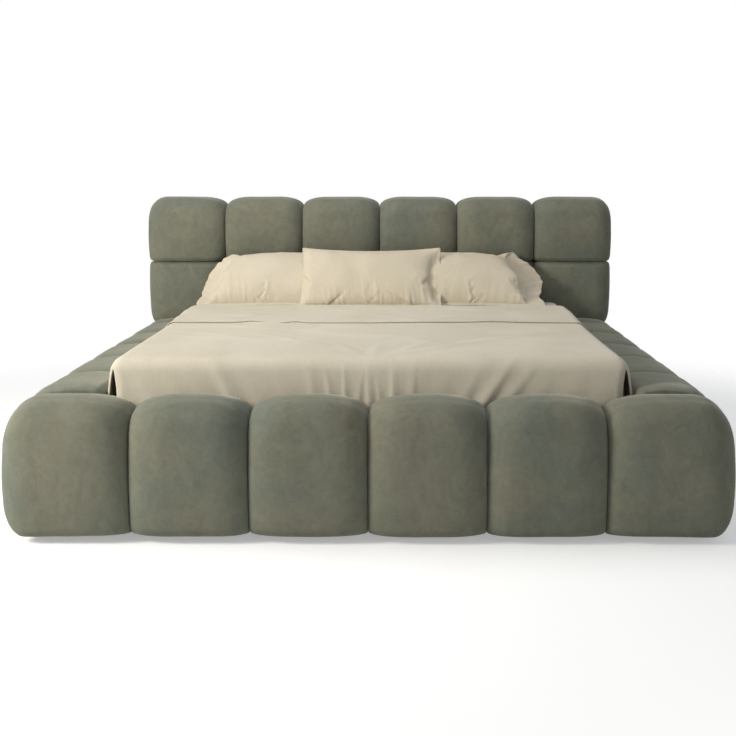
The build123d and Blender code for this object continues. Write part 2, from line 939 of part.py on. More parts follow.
def pillows():
    """Two wide pillows side by side against the headboard and a smaller one in front of them."""
    wide = pillow(pillow_long, pillow_high, pillow_thick, pillow_lean)
    bounds = wide.bounding_box()
    x = (pillow_long + pillow_apart) / 2
    rest = mattress_top + seat_gap
    y = head_front - pillow_gap - bounds.max.Y
    keep("pillow_right", Pos(pillow_shift + x, y, rest - bounds.min.Z) * wide)
    keep("pillow_left", Pos(pillow_shift - x, y, rest - bounds.min.Z) * wide)
    small = pillow(small_long, small_high, small_thick, small_lean)
    small_bounds = small.bounding_box()
    keep("pillow_front", Pos(small_shift, y - small_ahead, rest - small_bounds.min.Z) * small)


footboard_blocks()
headboard_blocks()
rail_cushions()
boards()
storage_floor()
feet()
keep(
    "corner_brackets",
    *both_sides(corner_bracket(foot_inner, 1), corner_bracket(panel_front, -1)),
)
fasteners()
lift_frame()
hinge_plates()
slats()
mattress_stops()
lift_strap()
struts()
strut_foot_brackets()
mattress()
quilt()
pillows()

for name, solids in nodes.items():
    shape = solids[0] if len(solids) == 1 else Compound(children=solids)
    export_step(shape, f"parts/{name}.step")
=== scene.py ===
import math

import bmesh
import bpy
import numpy as np
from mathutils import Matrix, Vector, noise


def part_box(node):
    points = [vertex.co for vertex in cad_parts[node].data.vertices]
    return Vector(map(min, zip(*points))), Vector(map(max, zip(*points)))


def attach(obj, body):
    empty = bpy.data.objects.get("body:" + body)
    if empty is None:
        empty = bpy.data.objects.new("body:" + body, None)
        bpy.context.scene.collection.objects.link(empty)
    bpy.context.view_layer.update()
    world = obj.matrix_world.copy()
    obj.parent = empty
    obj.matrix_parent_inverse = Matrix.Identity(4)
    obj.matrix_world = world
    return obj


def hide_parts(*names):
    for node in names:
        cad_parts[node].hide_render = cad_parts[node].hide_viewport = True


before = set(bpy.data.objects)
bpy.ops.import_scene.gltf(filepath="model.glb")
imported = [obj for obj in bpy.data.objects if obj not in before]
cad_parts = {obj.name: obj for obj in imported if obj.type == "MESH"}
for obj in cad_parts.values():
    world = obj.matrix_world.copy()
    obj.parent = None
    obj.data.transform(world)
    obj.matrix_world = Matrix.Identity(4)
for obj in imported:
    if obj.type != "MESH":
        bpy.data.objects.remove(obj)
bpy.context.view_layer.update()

# Sizes in metres. X runs across the bed, Y from the foot to the head, Z up

block_count = 6
foot_board_front = -1.07
foot_board_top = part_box("footboard_panel")[1][2]
rail_board_outer = 0.96
rail_board_top = 0.425
panel_front = 1.245
panel_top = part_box("headboard_panel")[1][2]
panel_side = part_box("headboard_panel")[1][0]

mattress_top = 0.585

quilt_rest = mattress_top + 0.0055
quilt_half = 0.906
quilt_foot = -1.006
quilt_round = 0.042
quilt_fold = 0.612
quilt_hem_y = 0.015
quilt_hem_z = 0.402
quilt_thick = 0.0035
quilt_hang_reach = 0.05

# Arc distances on the quilt: where its flat top ends, its rounded edge, its hems
flat_x = quilt_half - quilt_round
flat_y = -quilt_foot - quilt_round
arc = quilt_round * math.pi / 2
side_end = flat_x + arc + (quilt_rest - quilt_round - quilt_hem_z)
foot_end = flat_y + arc + (quilt_rest - quilt_round - quilt_hem_z)

weave_scale = 1300
mark_depth = 0.13

# Materials


def srgb(red, green, blue):
    """A colour as an eye reads it, 0 to 255, as the shader's linear one."""
    out = []
    for part in (red, green, blue):
        part /= 255
        out.append(part / 12.92 if part <= 0.04045 else ((part + 0.055) / 1.055) ** 2.4)
    return (*out, 1)


def grey(value):
    return (value, value, value, 1)


def scaled(colour, share):
    return tuple(part * share for part in colour[:3]) + (1,)


class Paint:
    """The nodes of a material or of the world, with short ways to add and link them."""

    def __init__(self, owner):
        owner.use_nodes = True
        self.owner = owner
        self.nodes, self.links = owner.node_tree.nodes, owner.node_tree.links
        self.shader = self.nodes.get("Principled BSDF")
        if self.shader is not None:
            self.place = self.add("TexCoord", "Object")

    def put(self, inputs, values):
        for name, value in values.items():
            socket = inputs[name.replace("_", " ") if isinstance(name, str) else name]
            if isinstance(value, bpy.types.NodeSocket):
                self.links.new(value, socket)
            else:
                socket.default_value = value

    def add(self, kind, output, numbered=(), settings=(), **named):
        """Adds a node with its inputs given by number or by name, and returns one of its outputs."""
        node = self.nodes.new("ShaderNode" + kind)
        for name, value in settings:
            setattr(node, name, value)
        self.put(node.inputs, dict(numbered))
        self.put(node.inputs, named)
        return node.outputs[output]

    def shade(self, **values):
        self.put(self.shader.inputs, values)

    def stretched(self, scale, turn=(0, 0, 0)):
        return self.add("Mapping", "Vector", Scale=scale, Rotation=turn, Vector=self.place)

    def noise(self, scale, detail=3, rough=0.5, distortion=0, place=None):
        place = self.place if place is None else place
        values = {"Scale": scale, "Detail": detail, "Roughness": rough, "Distortion": distortion}
        return self.add("TexNoise", "Fac", Vector=place, **values)

    def wave(self, axis, scale, **values):
        settings = [("bands_direction", axis)]
        return self.add("TexWave", "Fac", settings=settings, Scale=scale, Vector=self.place, **values)

    def ramp(self, factor, *stops):
        colour = self.add("ValToRGB", "Color", Fac=factor)
        elements = colour.node.color_ramp.elements
        while len(elements) < len(stops):
            elements.new(0.5)
        for element, (position, shade) in zip(elements, stops):
            element.position = position
            element.color = shade
        return colour

    def times(self, first, second, factor=1.0):
        """One colour multiplied by another."""
        settings = [("data_type", "RGBA"), ("blend_type", "MULTIPLY")]
        return self.add("Mix", 2, {0: factor, 6: first, 7: second}, settings)

    def maths(self, operation, *values):
        return self.add("Math", 0, dict(enumerate(values)), [("operation", operation)])

    def bump(self, height, strength, distance, before=None):
        after = {} if before is None else {"Normal": before}
        normal = self.add("Bump", "Normal", Strength=strength, Distance=distance, Height=height, **after)
        self.shade(Normal=normal)
        return normal

    def plain(self, colour, rough, height, strength, distance):
        """A colour, a roughness and one bump, and the finished material."""
        self.shade(Base_Color=colour, Roughness=rough)
        self.bump(height, strength, distance)
        return self.owner

    def camera_sees(self):
        """One for the rays that the camera sees by, also in a reflection, and nothing for others."""
        rays = self.nodes.new("ShaderNodeLightPath").outputs
        seen = self.maths("MAXIMUM", rays["Is Camera Ray"], rays["Is Glossy Ray"])
        return self.maths("MAXIMUM", seen, rays["Is Transmission Ray"])


def new_paint(name):
    return Paint(bpy.data.materials.new(name))


def suede(name, cool, middle, warm):
    """Brushed nap: wide cool and warm drifts, stroked marks and fine fibres."""
    paint = new_paint(name)
    base = paint.ramp(paint.noise(2.6, 3, 0.55, 0.8), (0.33, cool), (0.5, middle), (0.68, warm))
    strokes = paint.noise(1.4, 6, 0.62, 1.6, paint.stretched((9, 9, 6), (0.3, 0.5, 0.4)))
    marks = paint.ramp(strokes, (0.3, grey(1 - mark_depth)), (0.66, grey(1 + mark_depth * 0.5)))
    fleck = paint.ramp(paint.noise(46, 4, 0.7, 0.9), (0.36, grey(0.93)), (0.6, grey(1.03)))
    paint.shade(Base_Color=paint.times(paint.times(base, marks), fleck), Roughness=0.92)
    paint.shade(Specular_IOR_Level=0.22, Sheen_Weight=0.42)
    paint.shade(Sheen_Roughness=0.36, Sheen_Tint=(0.86, 0.86, 0.78, 1))
    soft = paint.bump(strokes, 0.22, 0.004)
    paint.bump(paint.noise(weave_scale * 0.55, 2, 0.6), 0.16, 0.0008, soft)
    return paint.owner


def woven(name, pale, deep, sheen=0.12, crease=0.25):
    """Washed cotton: slight shade drifts, shallow creases and the crossing threads of a plain weave."""
    paint = new_paint(name)
    base = paint.ramp(paint.noise(3.1, 3, 0.5, 0.5), (0.35, deep), (0.65, pale))
    slub = paint.noise(1.0, 3, 0.6, place=paint.stretched((240, 30, 30)))
    fleck = paint.ramp(slub, (0.35, (0.965, 0.965, 0.96, 1)), (0.65, (1.015, 1.015, 1.01, 1)))
    paint.shade(Base_Color=paint.times(base, fleck), Roughness=0.86, Specular_IOR_Level=0.25)
    paint.shade(Sheen_Weight=sheen, Sheen_Roughness=0.4)
    folds = paint.noise(1.5, 5, 0.55, 1.1, paint.stretched((7, 3.5, 7)))
    waves = [paint.wave(axis, weave_scale, Distortion=0.6, Detail=1) for axis in "XYZ"]
    threads = paint.maths("ADD", paint.maths("MULTIPLY", waves[0], waves[1]), waves[2])
    paint.bump(threads, 0.08, 0.0003, paint.bump(folds, crease, 0.006))
    return paint.owner


def layered_board(name, pale, deep):
    """Plywood: long figure on the faces and thin glued layers at the edges."""
    paint = new_paint(name)
    figure = paint.noise(3.2, 6, 0.62, 1.3, paint.stretched((9, 1.1, 9)))
    face = paint.ramp(figure, (0.3, deep), (0.62, pale))
    ply = paint.wave("X", 90, Distortion=1.2, Detail=2)
    layers = paint.ramp(ply, (0.3, (0.82, 0.8, 0.78, 1)), (0.7, grey(1)))
    fibres = paint.noise(2.2, 4, 0.6, place=paint.stretched((160, 8, 160)))
    return paint.plain(paint.times(face, layers, 0.45), 0.62, fibres, 0.18, 0.0008)


def timber(name, pale, deep, along, rough=0.5):
    """Straight-grained wood with its grain along one axis."""
    paint = new_paint(name)
    stretches = ((1.2, 22), (9, 260))
    wide, fine = ([grain if k == along else cross for k in range(3)] for grain, cross in stretches)
    rings = paint.noise(1.6, 5, 0.6, 0.9, paint.stretched(wide))
    base = paint.ramp(rings, (0.32, deep), (0.6, pale))
    pores = paint.noise(1.3, 3, 0.6, place=paint.stretched(fine))
    fleck = paint.ramp(pores, (0.4, (0.9, 0.88, 0.85, 1)), (0.56, grey(1)))
    return paint.plain(paint.times(base, fleck, 0.8), rough, pores, 0.15, 0.0005)


def metal(name, colour, rough, coat=0.0, grain=0.05, plated=False):
    """Painted or plated steel with faint wear."""
    paint = new_paint(name)
    wear = paint.noise(38, 5, 0.65, 0.4)
    high = tuple(min(1, part * 1.1 + 0.004) for part in colour[:3]) + (1,)
    shade = paint.ramp(wear, (0.35, scaled(colour, 0.86)), (0.66, high))
    paint.shade(Metallic=1.0 if plated else 0.0, Coat_Weight=coat)
    worn = paint.maths("MULTIPLY_ADD", wear, 0.22, rough - 0.11)
    return paint.plain(shade, worn, paint.noise(420, 2, 0.5), grain, 0.0006)


def moulded(name, colour):
    paint = new_paint(name)
    cloud = paint.noise(60, 3, 0.6)
    shade = paint.ramp(cloud, (0.35, scaled(colour, 0.85)), (0.65, scaled(colour, 1.2)))
    return paint.plain(shade, 0.55, paint.noise(900, 2, 0.5), 0.1, 0.0004)


def strapping(name, colour):
    """Flat webbing with ribs across its length, with painted shade darkening the grooves between the ribs.
    """
    paint = new_paint(name)
    ribs = paint.maths("MULTIPLY", paint.wave("Z", 140), paint.wave("X", 210))
    # painted shade: the colour falls to six tenths of its own in the grooves that the rib bump makes
    shade = paint.ramp(ribs, (0.1, scaled(colour, 0.6)), (0.7, colour))
    return paint.plain(shade, 0.8, ribs, 0.4, 0.0012)


upholstery = suede("upholstery", srgb(112, 117, 105), srgb(120, 121, 106), srgb(127, 125, 109))
back_cloth = woven("back_cloth", srgb(92, 94, 84), srgb(78, 81, 72), 0.1, 0.1)
quilt_cloth = woven("quilt_cloth", srgb(219, 211, 193), srgb(210, 201, 182))
pillow_cloth = woven("pillow_cloth", srgb(217, 207, 187), srgb(208, 197, 175))
mattress_cloth = woven("mattress_cloth", srgb(232, 229, 220), srgb(222, 218, 207), 0.1, 0.1)
plywood = layered_board("plywood", srgb(205, 172, 126), srgb(176, 138, 92))
pine = timber("pine", srgb(220, 185, 132), srgb(193, 148, 94), 1)
beech = timber("beech", srgb(214, 174, 128), srgb(188, 142, 98), 0, 0.4)
zinc_steel = metal("zinc_steel", (0.62, 0.63, 0.64, 1), 0.34, plated=True)
black_steel = metal("black_steel", (0.022, 0.022, 0.024, 1), 0.42, 0.15, 0.12)
strut_paint = metal("strut_paint", (0.014, 0.014, 0.015, 1), 0.3, 0.3, 0.03)
strut_steel = metal("strut_steel", (0.78, 0.78, 0.8, 1), 0.16, plated=True, grain=0.01)
glide_plastic = moulded("glide_plastic", (0.03, 0.03, 0.03, 1))
cap_plastic = moulded("cap_plastic", (0.045, 0.045, 0.047, 1))
webbing = strapping("webbing", (0.05, 0.05, 0.052, 1))

for finish, nodes in (
    (plywood, "headboard_panel footboard_panel side_rail_left side_rail_right"),
    (plywood, "storage_floor_left storage_floor_right"),
    (back_cloth, "headboard_back_cover"),
    (pine, "centre_beam floor_battens"),
    (beech, "slats"),
    (cap_plastic, "slat_caps"),
    (glide_plastic, "feet"),
    (zinc_steel, "corner_brackets corner_bolts flat_screws"),
    (black_steel, "strut_foot_brackets lift_frame mattress_stops pivot_plate_left pivot_plate_right"),
    (strut_paint, "strut_cylinder_left strut_cylinder_right"),
    (strut_steel, "strut_rod_left strut_rod_right"),
    (webbing, "lift_strap"),
):
    for node in nodes.split():
        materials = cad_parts[node].data.materials
        materials.clear()
        materials.append(finish)


# Mesh making


def new_object(name, data):
    thing = bpy.data.objects.new(name, data)
    bpy.context.scene.collection.objects.link(thing)
    return thing


def smoothed(mesh):
    mesh.polygons.foreach_set("use_smooth", [True] * len(mesh.polygons))


def add_piece(name, points, faces, material):
    mesh = bpy.data.meshes.new(name)
    mesh.from_pydata([tuple(map(float, p)) for p in points], [], faces)
    mesh.validate()
    mesh.materials.append(material)
    smoothed(mesh)
    return new_object(name, mesh)


def strip_faces(count, start, next_start):
    """Quads between two closed rings of points."""
    faces = []
    for n in range(count):
        m = (n + 1) % count
        faces.append((start + n, start + m, next_start + m, next_start + n))
    return faces


def grid_faces(rows, columns, start=0, keep=None):
    faces = []
    for r in range(rows - 1):
        for c in range(columns - 1):
            if keep is None or keep[r, c]:
                a = start + r * columns + c
                faces.append((a, a + 1, a + columns + 1, a + columns))
    return faces


def soft_noise(points, scale, seed):
    shift = Vector((seed * 7.31, seed * 3.17, seed * 5.53))
    return np.array([noise.noise(Vector(p) * scale + shift) for p in points])


def field(across, along, scale, seed):
    """Soft noise over two arrays of places, in their shape."""
    spots = np.stack([across.ravel(), along.ravel(), np.zeros(across.size)], 1)
    return soft_noise(spots, scale, seed).reshape(across.shape)


def eased(x):
    x = np.clip(x, 0, 1)
    return x * x * (3 - 2 * x)


# Stuffed blocks

# How far the front, back, bottom and top are drawn in towards a seam and towards a free end: over what
# reach, how deep, and the power of the curve. With no reach a face is drawn in over half the block
foot_seam = ((0.135, 0.066, 2.05), (None, 0.016, 3), (0.12, 0.007, 2.2), (0.17, 0.062, 2.0))
foot_free = ((0.12, 0.09, 2.1), (0.07, 0.05, 2.2), (0.07, 0.11, 2.0), (0.135, 0.14, 2.05))
head_seam = ((0.115, 0.058, 2.05), (None, 0.008, 3), (0.08, 0.008, 2.4), (0.125, 0.05, 2.1))
head_free = ((0.1, 0.08, 2.1), (0.05, 0.014, 2.2), (0.03, 0.018, 2.2), (0.1, 0.088, 2.2))
low_head_seam = (*head_seam[:2], (0.1, 0.01, 2.4), (0.08, 0.01, 2.4))
low_head_free = (*head_free[:2], (0.04, 0.085, 2.0), (0.03, 0.018, 2.2))
rail_seam = ((0.1, 0.018, 2.05), (None, 0.012, 3), (0.1, 0.01, 2.4), (0.1, 0.014, 2.05))

station_count = 53
end_crowding = 1.6
end_cap_shares = (0.93, 0.8, 0.6, 0.35, 0.12)
end_cap_bulge = 0.006
step_half = 0.0004
sharp_turn = math.radians(52)
least_notch = 0.012
corner_share = 0.48
seam_fade = 0.05
pucker_pitch = 210
pucker_depth = 0.0009
turn_in = 0.035


def drawn(distance, reach, depth, power):
    """How far a face is drawn in at a distance from the seam, as a superellipse."""
    share = np.clip(1 - distance / reach, 0, 1)
    return depth * (1 - (1 - share**power) ** (1 / power))


def rings_of(corners, radii, bulges, arc_count, side_counts):
    """Rounded outlines, one for each station: corners is (stations, corners, 2)."""
    count = corners.shape[1]
    turns = [k / (arc_count - 1) * math.pi / 2 for k in range(arc_count)]
    arcs = []
    for n in range(count):
        here = corners[:, n]
        ways = (corners[:, n - 1] - here, corners[:, (n + 1) % count] - here)
        before, after = (way / np.linalg.norm(way, axis=1, keepdims=True) for way in ways)
        radius = radii[n][:, None]
        centre = here + (before + after) * radius
        arcs.append([centre - after * radius * math.cos(t) - before * radius * math.sin(t) for t in turns])
    rings = []
    for n, arc in enumerate(arcs):
        rings += arc
        first, last = arc[-1], arcs[(n + 1) % count][0]
        along = last - first
        length = np.linalg.norm(along, axis=1, keepdims=True)
        unit = along / np.maximum(length, 1e-9)
        outward = np.stack([unit[:, 1], -unit[:, 0]], axis=1)
        for k in range(1, side_counts[n] + 1):
            share = k / (side_counts[n] + 1)
            rings.append(first + along * share + outward * bulges[n] * 4 * share * (1 - share))
    return np.stack(rings, axis=1)


def always(value):
    return lambda along: np.full_like(np.asarray(along, float), value)


def stuffed_block(
    name, node, fill, place, run, seam_ends, seed, *,
    deep, notch_deep, notch_high, low, high, bulges, radii, seam, free,
    low_front_share=1, steps=(), narrower=always(0), cap=always(9),
):
    """A puffed block along a run, closed at both ends, in place of a node.

    Place turns run, depth and height into a point. The notch at the back leaves room for a board.
    """
    start, stop = run
    turn = np.linspace(-1, 1, station_count)
    crowded = np.sign(turn) * (1 - (1 - np.abs(turn)) ** end_crowding)
    along = (start + stop) / 2 + crowded * (stop - start) / 2
    for step in steps:
        along = np.append(along, [step - step_half, step + step_half])
    along = np.sort(along)
    half = (stop - start) / 2
    insets = []
    for face in range(4):
        total = np.zeros_like(along)
        for distance, is_seam in ((along - start, seam_ends[0]), (stop - along, seam_ends[1])):
            reach, depth, power = (seam if is_seam else free)[face]
            total = np.maximum(total, drawn(distance, reach or half, depth, power))
        insets.append(total)
    front_in, back_in, bottom_in, top_in = insets
    front_bulge, top_bulge = bulges
    inward = narrower(along)
    front = front_in + front_bulge + inward
    front_low = front_in * low_front_share + front_bulge + inward
    bottom = low + bottom_in
    top = np.minimum(high - top_in, cap(along)) - top_bulge
    back = deep(along) - back_in
    notch = np.minimum(notch_deep(along), back - 0.002)
    notch_top = np.maximum(np.minimum(notch_high, top - least_notch), bottom + least_notch)
    outline = (
        (front_low, bottom), (notch, bottom), (notch, notch_top),
        (back, notch_top), (back, top), (front, top),
    )
    corners = np.stack([np.stack(corner, 1) for corner in outline], axis=1)
    tall = top - bottom
    wide = notch - np.maximum(front, front_low)
    fit = np.minimum(tall, wide) * corner_share
    above = np.minimum(top - notch_top, back - front) * corner_share
    tiny = np.full_like(along, 0.0009)
    corner_radii = [
        np.minimum(radii[0], fit), np.minimum(radii[1], fit), tiny, tiny,
        np.minimum(radii[2], above),
        np.minimum(radii[3], np.minimum(tall, back - front) * corner_share),
    ]
    rings = rings_of(corners, corner_radii, (0, 0, 0, 0, top_bulge, front_bulge), 9, (9, 5, 1, 3, 11, 19))
    count = rings.shape[1]
    spread = np.repeat(along[:, None], count, axis=1)
    flat = np.stack([spread, rings[:, :, 0], rings[:, :, 1]], axis=2).reshape(-1, 3)
    points = np.array([place(s, a, b) for s, a, b in flat])
    centre = points.reshape(len(along), count, 3).mean(axis=1)
    outward = points - np.repeat(centre, count, axis=0)
    outward /= np.linalg.norm(outward, axis=1, keepdims=True)
    from_end = np.minimum(spread - start, stop - spread).reshape(-1)
    deep_share = eased((deep(spread.reshape(-1)) * 0.8 - flat[:, 1]) / 0.05)
    fade = eased(from_end / seam_fade) * deep_share
    swell = soft_noise(points, 4.2, seed) * 0.0032 + soft_noise(points, 11, seed + 3) * 0.0011
    points += outward * (swell * fade)[:, None]
    pucker_fade = np.exp(-from_end / 0.016) * deep_share * eased(from_end / 0.004)
    around = flat[:, 1] + flat[:, 2]
    pucker = np.sin(around * pucker_pitch + soft_noise(points, 9, seed + 5) * 9)
    points += outward * (pucker * pucker_fade * pucker_depth)[:, None]
    faces = []
    for n in range(len(along) - 1):
        faces += strip_faces(count, n * count, (n + 1) * count)
    for here, is_seam, way in ((0, seam_ends[0], -1), ((len(along) - 1) * count, seam_ends[1], 1)):
        ring = points[here : here + count]
        if not is_seam:
            ring_centre = ring.mean(axis=0)
            outward_end = np.array(place(way, 0, 0)) - np.array(place(0, 0, 0))
            for share in end_cap_shares:
                bulge = end_cap_bulge * math.sqrt(1 - share**2)
                inner = ring_centre + (ring - ring_centre) * share + outward_end * bulge
                there = len(points)
                points = np.concatenate([points, inner])
                faces += [quad[::way] for quad in strip_faces(count, here, there)]
                here = there
        faces.append(tuple(range(here, here + count))[::-way])
    piece = add_piece(name, points, faces, upholstery)
    close_shell(piece)
    piece.data.set_sharp_from_angle(angle=sharp_turn)
    finish_soft(piece, node, "bed_frame", fill)


def close_shell(piece):
    """Makes the faces of a closed shell agree with one another and look outwards."""
    shell = bmesh.new()
    shell.from_mesh(piece.data)
    bmesh.ops.recalc_face_normals(shell, faces=shell.faces)
    shell.to_mesh(piece.data)
    shell.free()
    smoothed(piece.data)
    turn_outwards(piece)


def turn_outwards(piece):
    """Turns every face of a closed shell outwards."""
    mesh = piece.data
    mesh.calc_loop_triangles()
    points = np.array([v.co for v in mesh.vertices])
    triangles = np.array([t.vertices for t in mesh.loop_triangles])
    a, b, c = (points[triangles[:, k]] for k in range(3))
    if np.einsum("ij,ij->i", a, np.cross(b, c)).sum() < 0:
        mesh.flip_normals()


def finish_soft(piece, node, body, fill):
    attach(piece, body)
    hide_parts(node)


def blocks_across(name, node, fill, face, board_front, step, seed, back=None, thin=False, **shape):
    """A row of blocks across the bed, sewn to one another and free at both ends.

    Past the step the notch for the board goes through the whole block, and up to there a thin block is
    hardly deeper than its board. Where no back is given, each block has that of its own node.
    """
    low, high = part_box(f"{node}_3")
    board_deep = board_front - face
    for n in range(1, block_count + 1):
        own_low, own_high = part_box(f"{node}_{n}")
        side = 1 if n > block_count / 2 else -1
        last = n in (1, block_count)
        deep = (own_high[1] if back is None else back) - face
        stuffed_block(
            f"{name}_{n}", f"{node}_{n}", fill,
            lambda s, a, b: (side * s, face + a, b),
            sorted((abs(own_low[0]), abs(own_high[0]))),
            (True, not last), seed + n, low=low[2], high=high[2],
            deep=(lambda s: np.where(s > step, deep, board_deep + 0.002)) if thin else always(deep),
            notch_deep=lambda s: np.where(s > step, deep, board_deep),
            steps=(step,) if last else (), **shape,
        )


def footboard_blocks():
    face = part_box("footboard_cushion_3")[0][1]
    blocks_across(
        "foot_block", "footboard_cushion", 0.75, face, foot_board_front, rail_board_outer, 0,
        notch_high=foot_board_top, low_front_share=0.6,
        bulges=(0.011, 0.007), radii=(0.042, 0.01, 0.062, 0.098), seam=foot_seam, free=foot_free,
    )


def headboard_blocks():
    low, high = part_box("headboard_upper_3")
    low_row_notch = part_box("headboard_lower_3")[1][2] - 0.03
    for row, seed, notch_high, top_bulge, radii, seam, free in (
        ("upper", 20, panel_top, 0.006, (0.032, 0.006, 0.03, 0.1), head_seam, head_free),
        ("lower", 30, low_row_notch, 0.001, (0.026, 0.008, 0.006, 0.036), low_head_seam, low_head_free),
    ):
        blocks_across(
            f"head_block_{row}", f"headboard_{row}", 0.7, low[1], panel_front, panel_side, seed,
            back=high[1], thin=row == "lower", notch_high=notch_high,
            bulges=(0.01, top_bulge), radii=radii, seam=seam, free=free,
        )


def rail_blocks():
    """The blocks down both sides. The last of each side steps in and down beneath the headboard."""
    head_front, under_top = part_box("headboard_lower_3")[0][1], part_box("headboard_lower_3")[0][2] - 0.002
    head_side = max(abs(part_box("headboard_lower_1")[0][0]), abs(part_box("headboard_lower_6")[1][0]))
    for side, label, seed in ((-1, "left", 50), (1, "right", 60)):
        low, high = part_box(f"rail_cushion_{label}_2")
        inner, outer = sorted((abs(low[0]), abs(high[0])))
        deep, board_deep, side_deep = outer - inner, outer - rail_board_outer, outer - panel_side
        narrower, rail_top = outer - head_side, high[2]

        def turned_in(s, depth):
            return drawn(np.maximum(head_front - s, 0), turn_in, depth, 2)

        plain = {"deep": always(deep), "notch_deep": always(board_deep)}
        stepped = {
            "deep": lambda s: np.where(s > panel_front, side_deep, deep),
            "notch_deep": lambda s: np.where(s > panel_front, side_deep - 0.002, board_deep),
            "steps": (head_front - 0.5 * turn_in, head_front, panel_front),
            "narrower": lambda s: np.where(s > head_front, narrower, turned_in(s, narrower)),
            "cap": lambda s: np.where(
                s > head_front, under_top, rail_top - turned_in(s, rail_top - under_top)
            ),
        }
        for n in range(1, block_count + 1):
            node = f"rail_cushion_{label}_{n}"
            stuffed_block(
                f"rail_block_{label}_{n}", node, 0.75,
                lambda s, a, b: (side * (outer - a), s, b),
                [end[1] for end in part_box(node)], (True, True), seed + n,
                notch_high=rail_board_top, low=low[2], high=rail_top,
                bulges=(0.011, 0.006), radii=(0.06, 0.008, 0.05, 0.115), seam=rail_seam, free=rail_seam,
                **(stepped if n == block_count else plain),
            )


# Quilt


def over_edge(distance, flat_end, radius):
    """Where cloth lies at an arc distance over a rounded edge: how far out, and how far down."""
    past = distance - flat_end
    turn = np.clip(past / radius, 0, math.pi / 2)
    out = np.minimum(distance, flat_end) + radius * np.sin(turn)
    down = radius * (1 - np.cos(turn)) + np.maximum(past - radius * math.pi / 2, 0)
    return out, down


def fold_ridge(x, centre, width, lean):
    """A soft ridge across x, one high at its centre, steeper on one side."""
    distance = x - centre
    side = np.where(distance * lean > 0, width * 0.7, width * 1.25)
    return np.exp(-((distance / side) ** 2))


# Folds of the foot drop: place at the hem, width, height, slant, how far up they start
foot_drop_folds = (
    (-0.745, 0.034, 0.0045, 0.9, 0.08),
    (-0.640, 0.040, 0.0050, 1.0, 0.11),
    (-0.545, 0.036, 0.0060, 1.1, 0.10),
    (-0.452, 0.026, 0.0120, 1.1, 0.16),
    (-0.372, 0.034, 0.0050, 0.8, 0.08),
    (-0.282, 0.024, 0.0035, 0.5, 0.07),
    (-0.186, 0.015, 0.0055, 0.35, 0.13),
    (-0.128, 0.012, 0.0075, 0.35, 0.09),
    (-0.082, 0.009, 0.0062, 0.10, 0.12),
    (-0.041, 0.010, 0.0048, -0.25, 0.07),
    (0.002, 0.012, 0.0070, 0.10, 0.10),
    (0.040, 0.009, 0.0042, 0.20, 0.06),
    (0.083, 0.013, 0.0074, 0.05, 0.12),
    (0.150, 0.014, 0.0060, -0.10, 0.10),
    (0.236, 0.026, 0.0036, -0.5, 0.07),
    (0.308, 0.022, 0.0065, -1.0, 0.11),
    (0.380, 0.020, 0.0140, -1.3, 0.15),
    (0.458, 0.022, 0.0110, -1.4, 0.12),
    (0.560, 0.036, 0.0050, -1.0, 0.09),
    (0.690, 0.040, 0.0050, -0.7, 0.08),
    (0.800, 0.034, 0.0040, -0.4, 0.07),
)

# Creases on the top: middle of each, half length, turn in degrees, width, height
top_creases = (
    (-0.56, 0.02, 0.30, -16, 0.018, 0.0060),
    (-0.42, -0.18, 0.28, -22, 0.020, 0.0055),
    (-0.22, -0.05, 0.22, -28, 0.018, 0.0038),
    (-0.66, -0.34, 0.20, -36, 0.022, 0.0045),
    (-0.60, 0.36, 0.24, -9, 0.016, 0.0042),
    (-0.30, -0.52, 0.26, -50, 0.026, 0.0040),
    (-0.10, -0.72, 0.16, -70, 0.022, 0.0020),
    (0.02, -0.78, 0.14, 86, 0.020, 0.0022),
    (0.16, -0.70, 0.18, 66, 0.024, 0.0022),
    (0.36, -0.62, 0.26, 44, 0.024, 0.0042),
    (0.52, -0.44, 0.24, 36, 0.022, 0.0045),
    (0.44, -0.12, 0.26, 20, 0.020, 0.0044),
    (0.24, 0.10, 0.24, 8, 0.018, 0.0036),
    (-0.10, 0.20, 0.26, -6, 0.018, 0.0034),
    (0.66, 0.06, 0.22, 12, 0.020, 0.0040),
    (0.62, 0.34, 0.24, 9, 0.016, 0.0038),
)


def quilt_relief(x, y):
    """How far the quilt's top stands above the mattress because of its creases."""
    height = field(x, y * 0.7, 2.3, 2) * 0.0034
    height += field(x * 4.2, y * 1.2, 1.3, 4) * 0.0014
    height += field(x + y * 0.4, y, 9, 7) * 0.0009
    wander = field(x, y * 0.7, 5, 9) * 0.018
    for middle_x, middle_y, half, turn, width, crest in top_creases:
        turn = math.radians(turn)
        dx, dy = x - middle_x, y - middle_y
        along = dx * math.cos(turn) + dy * math.sin(turn)
        aside = dy * math.cos(turn) - dx * math.sin(turn) + wander
        fade = np.exp(-((along / half) ** 4))
        ridge = np.exp(-((aside / width) ** 2)) - 0.5 * np.exp(-((aside / width - 1.5) ** 2))
        height += crest * fade * ridge
    return np.maximum(height, -0.0035) + 0.0035


def quilt_surface(across, along):
    """Cloth over the mattress: arc distances across and along, as places and drops."""
    x, down_x = over_edge(np.abs(across), flat_x, quilt_round)
    x *= np.sign(across)
    y, down_y = over_edge(along, flat_y, quilt_round)
    y = -y
    z = quilt_rest - down_x - down_y
    corner = 0.034
    cx, cy = quilt_half - corner, quilt_foot + corner
    dx, dy = np.abs(x) - cx, cy - y
    reach = np.hypot(dx, dy)
    inside = (dx > 0) & (dy > 0) & (reach > corner)
    shrink = np.where(inside, corner / np.maximum(reach, 1e-6), 1)
    x = np.where(inside, np.sign(x) * (cx + dx * shrink), x)
    y = np.where(inside, cy - dy * shrink, y)
    return x, y, z, down_x, down_y


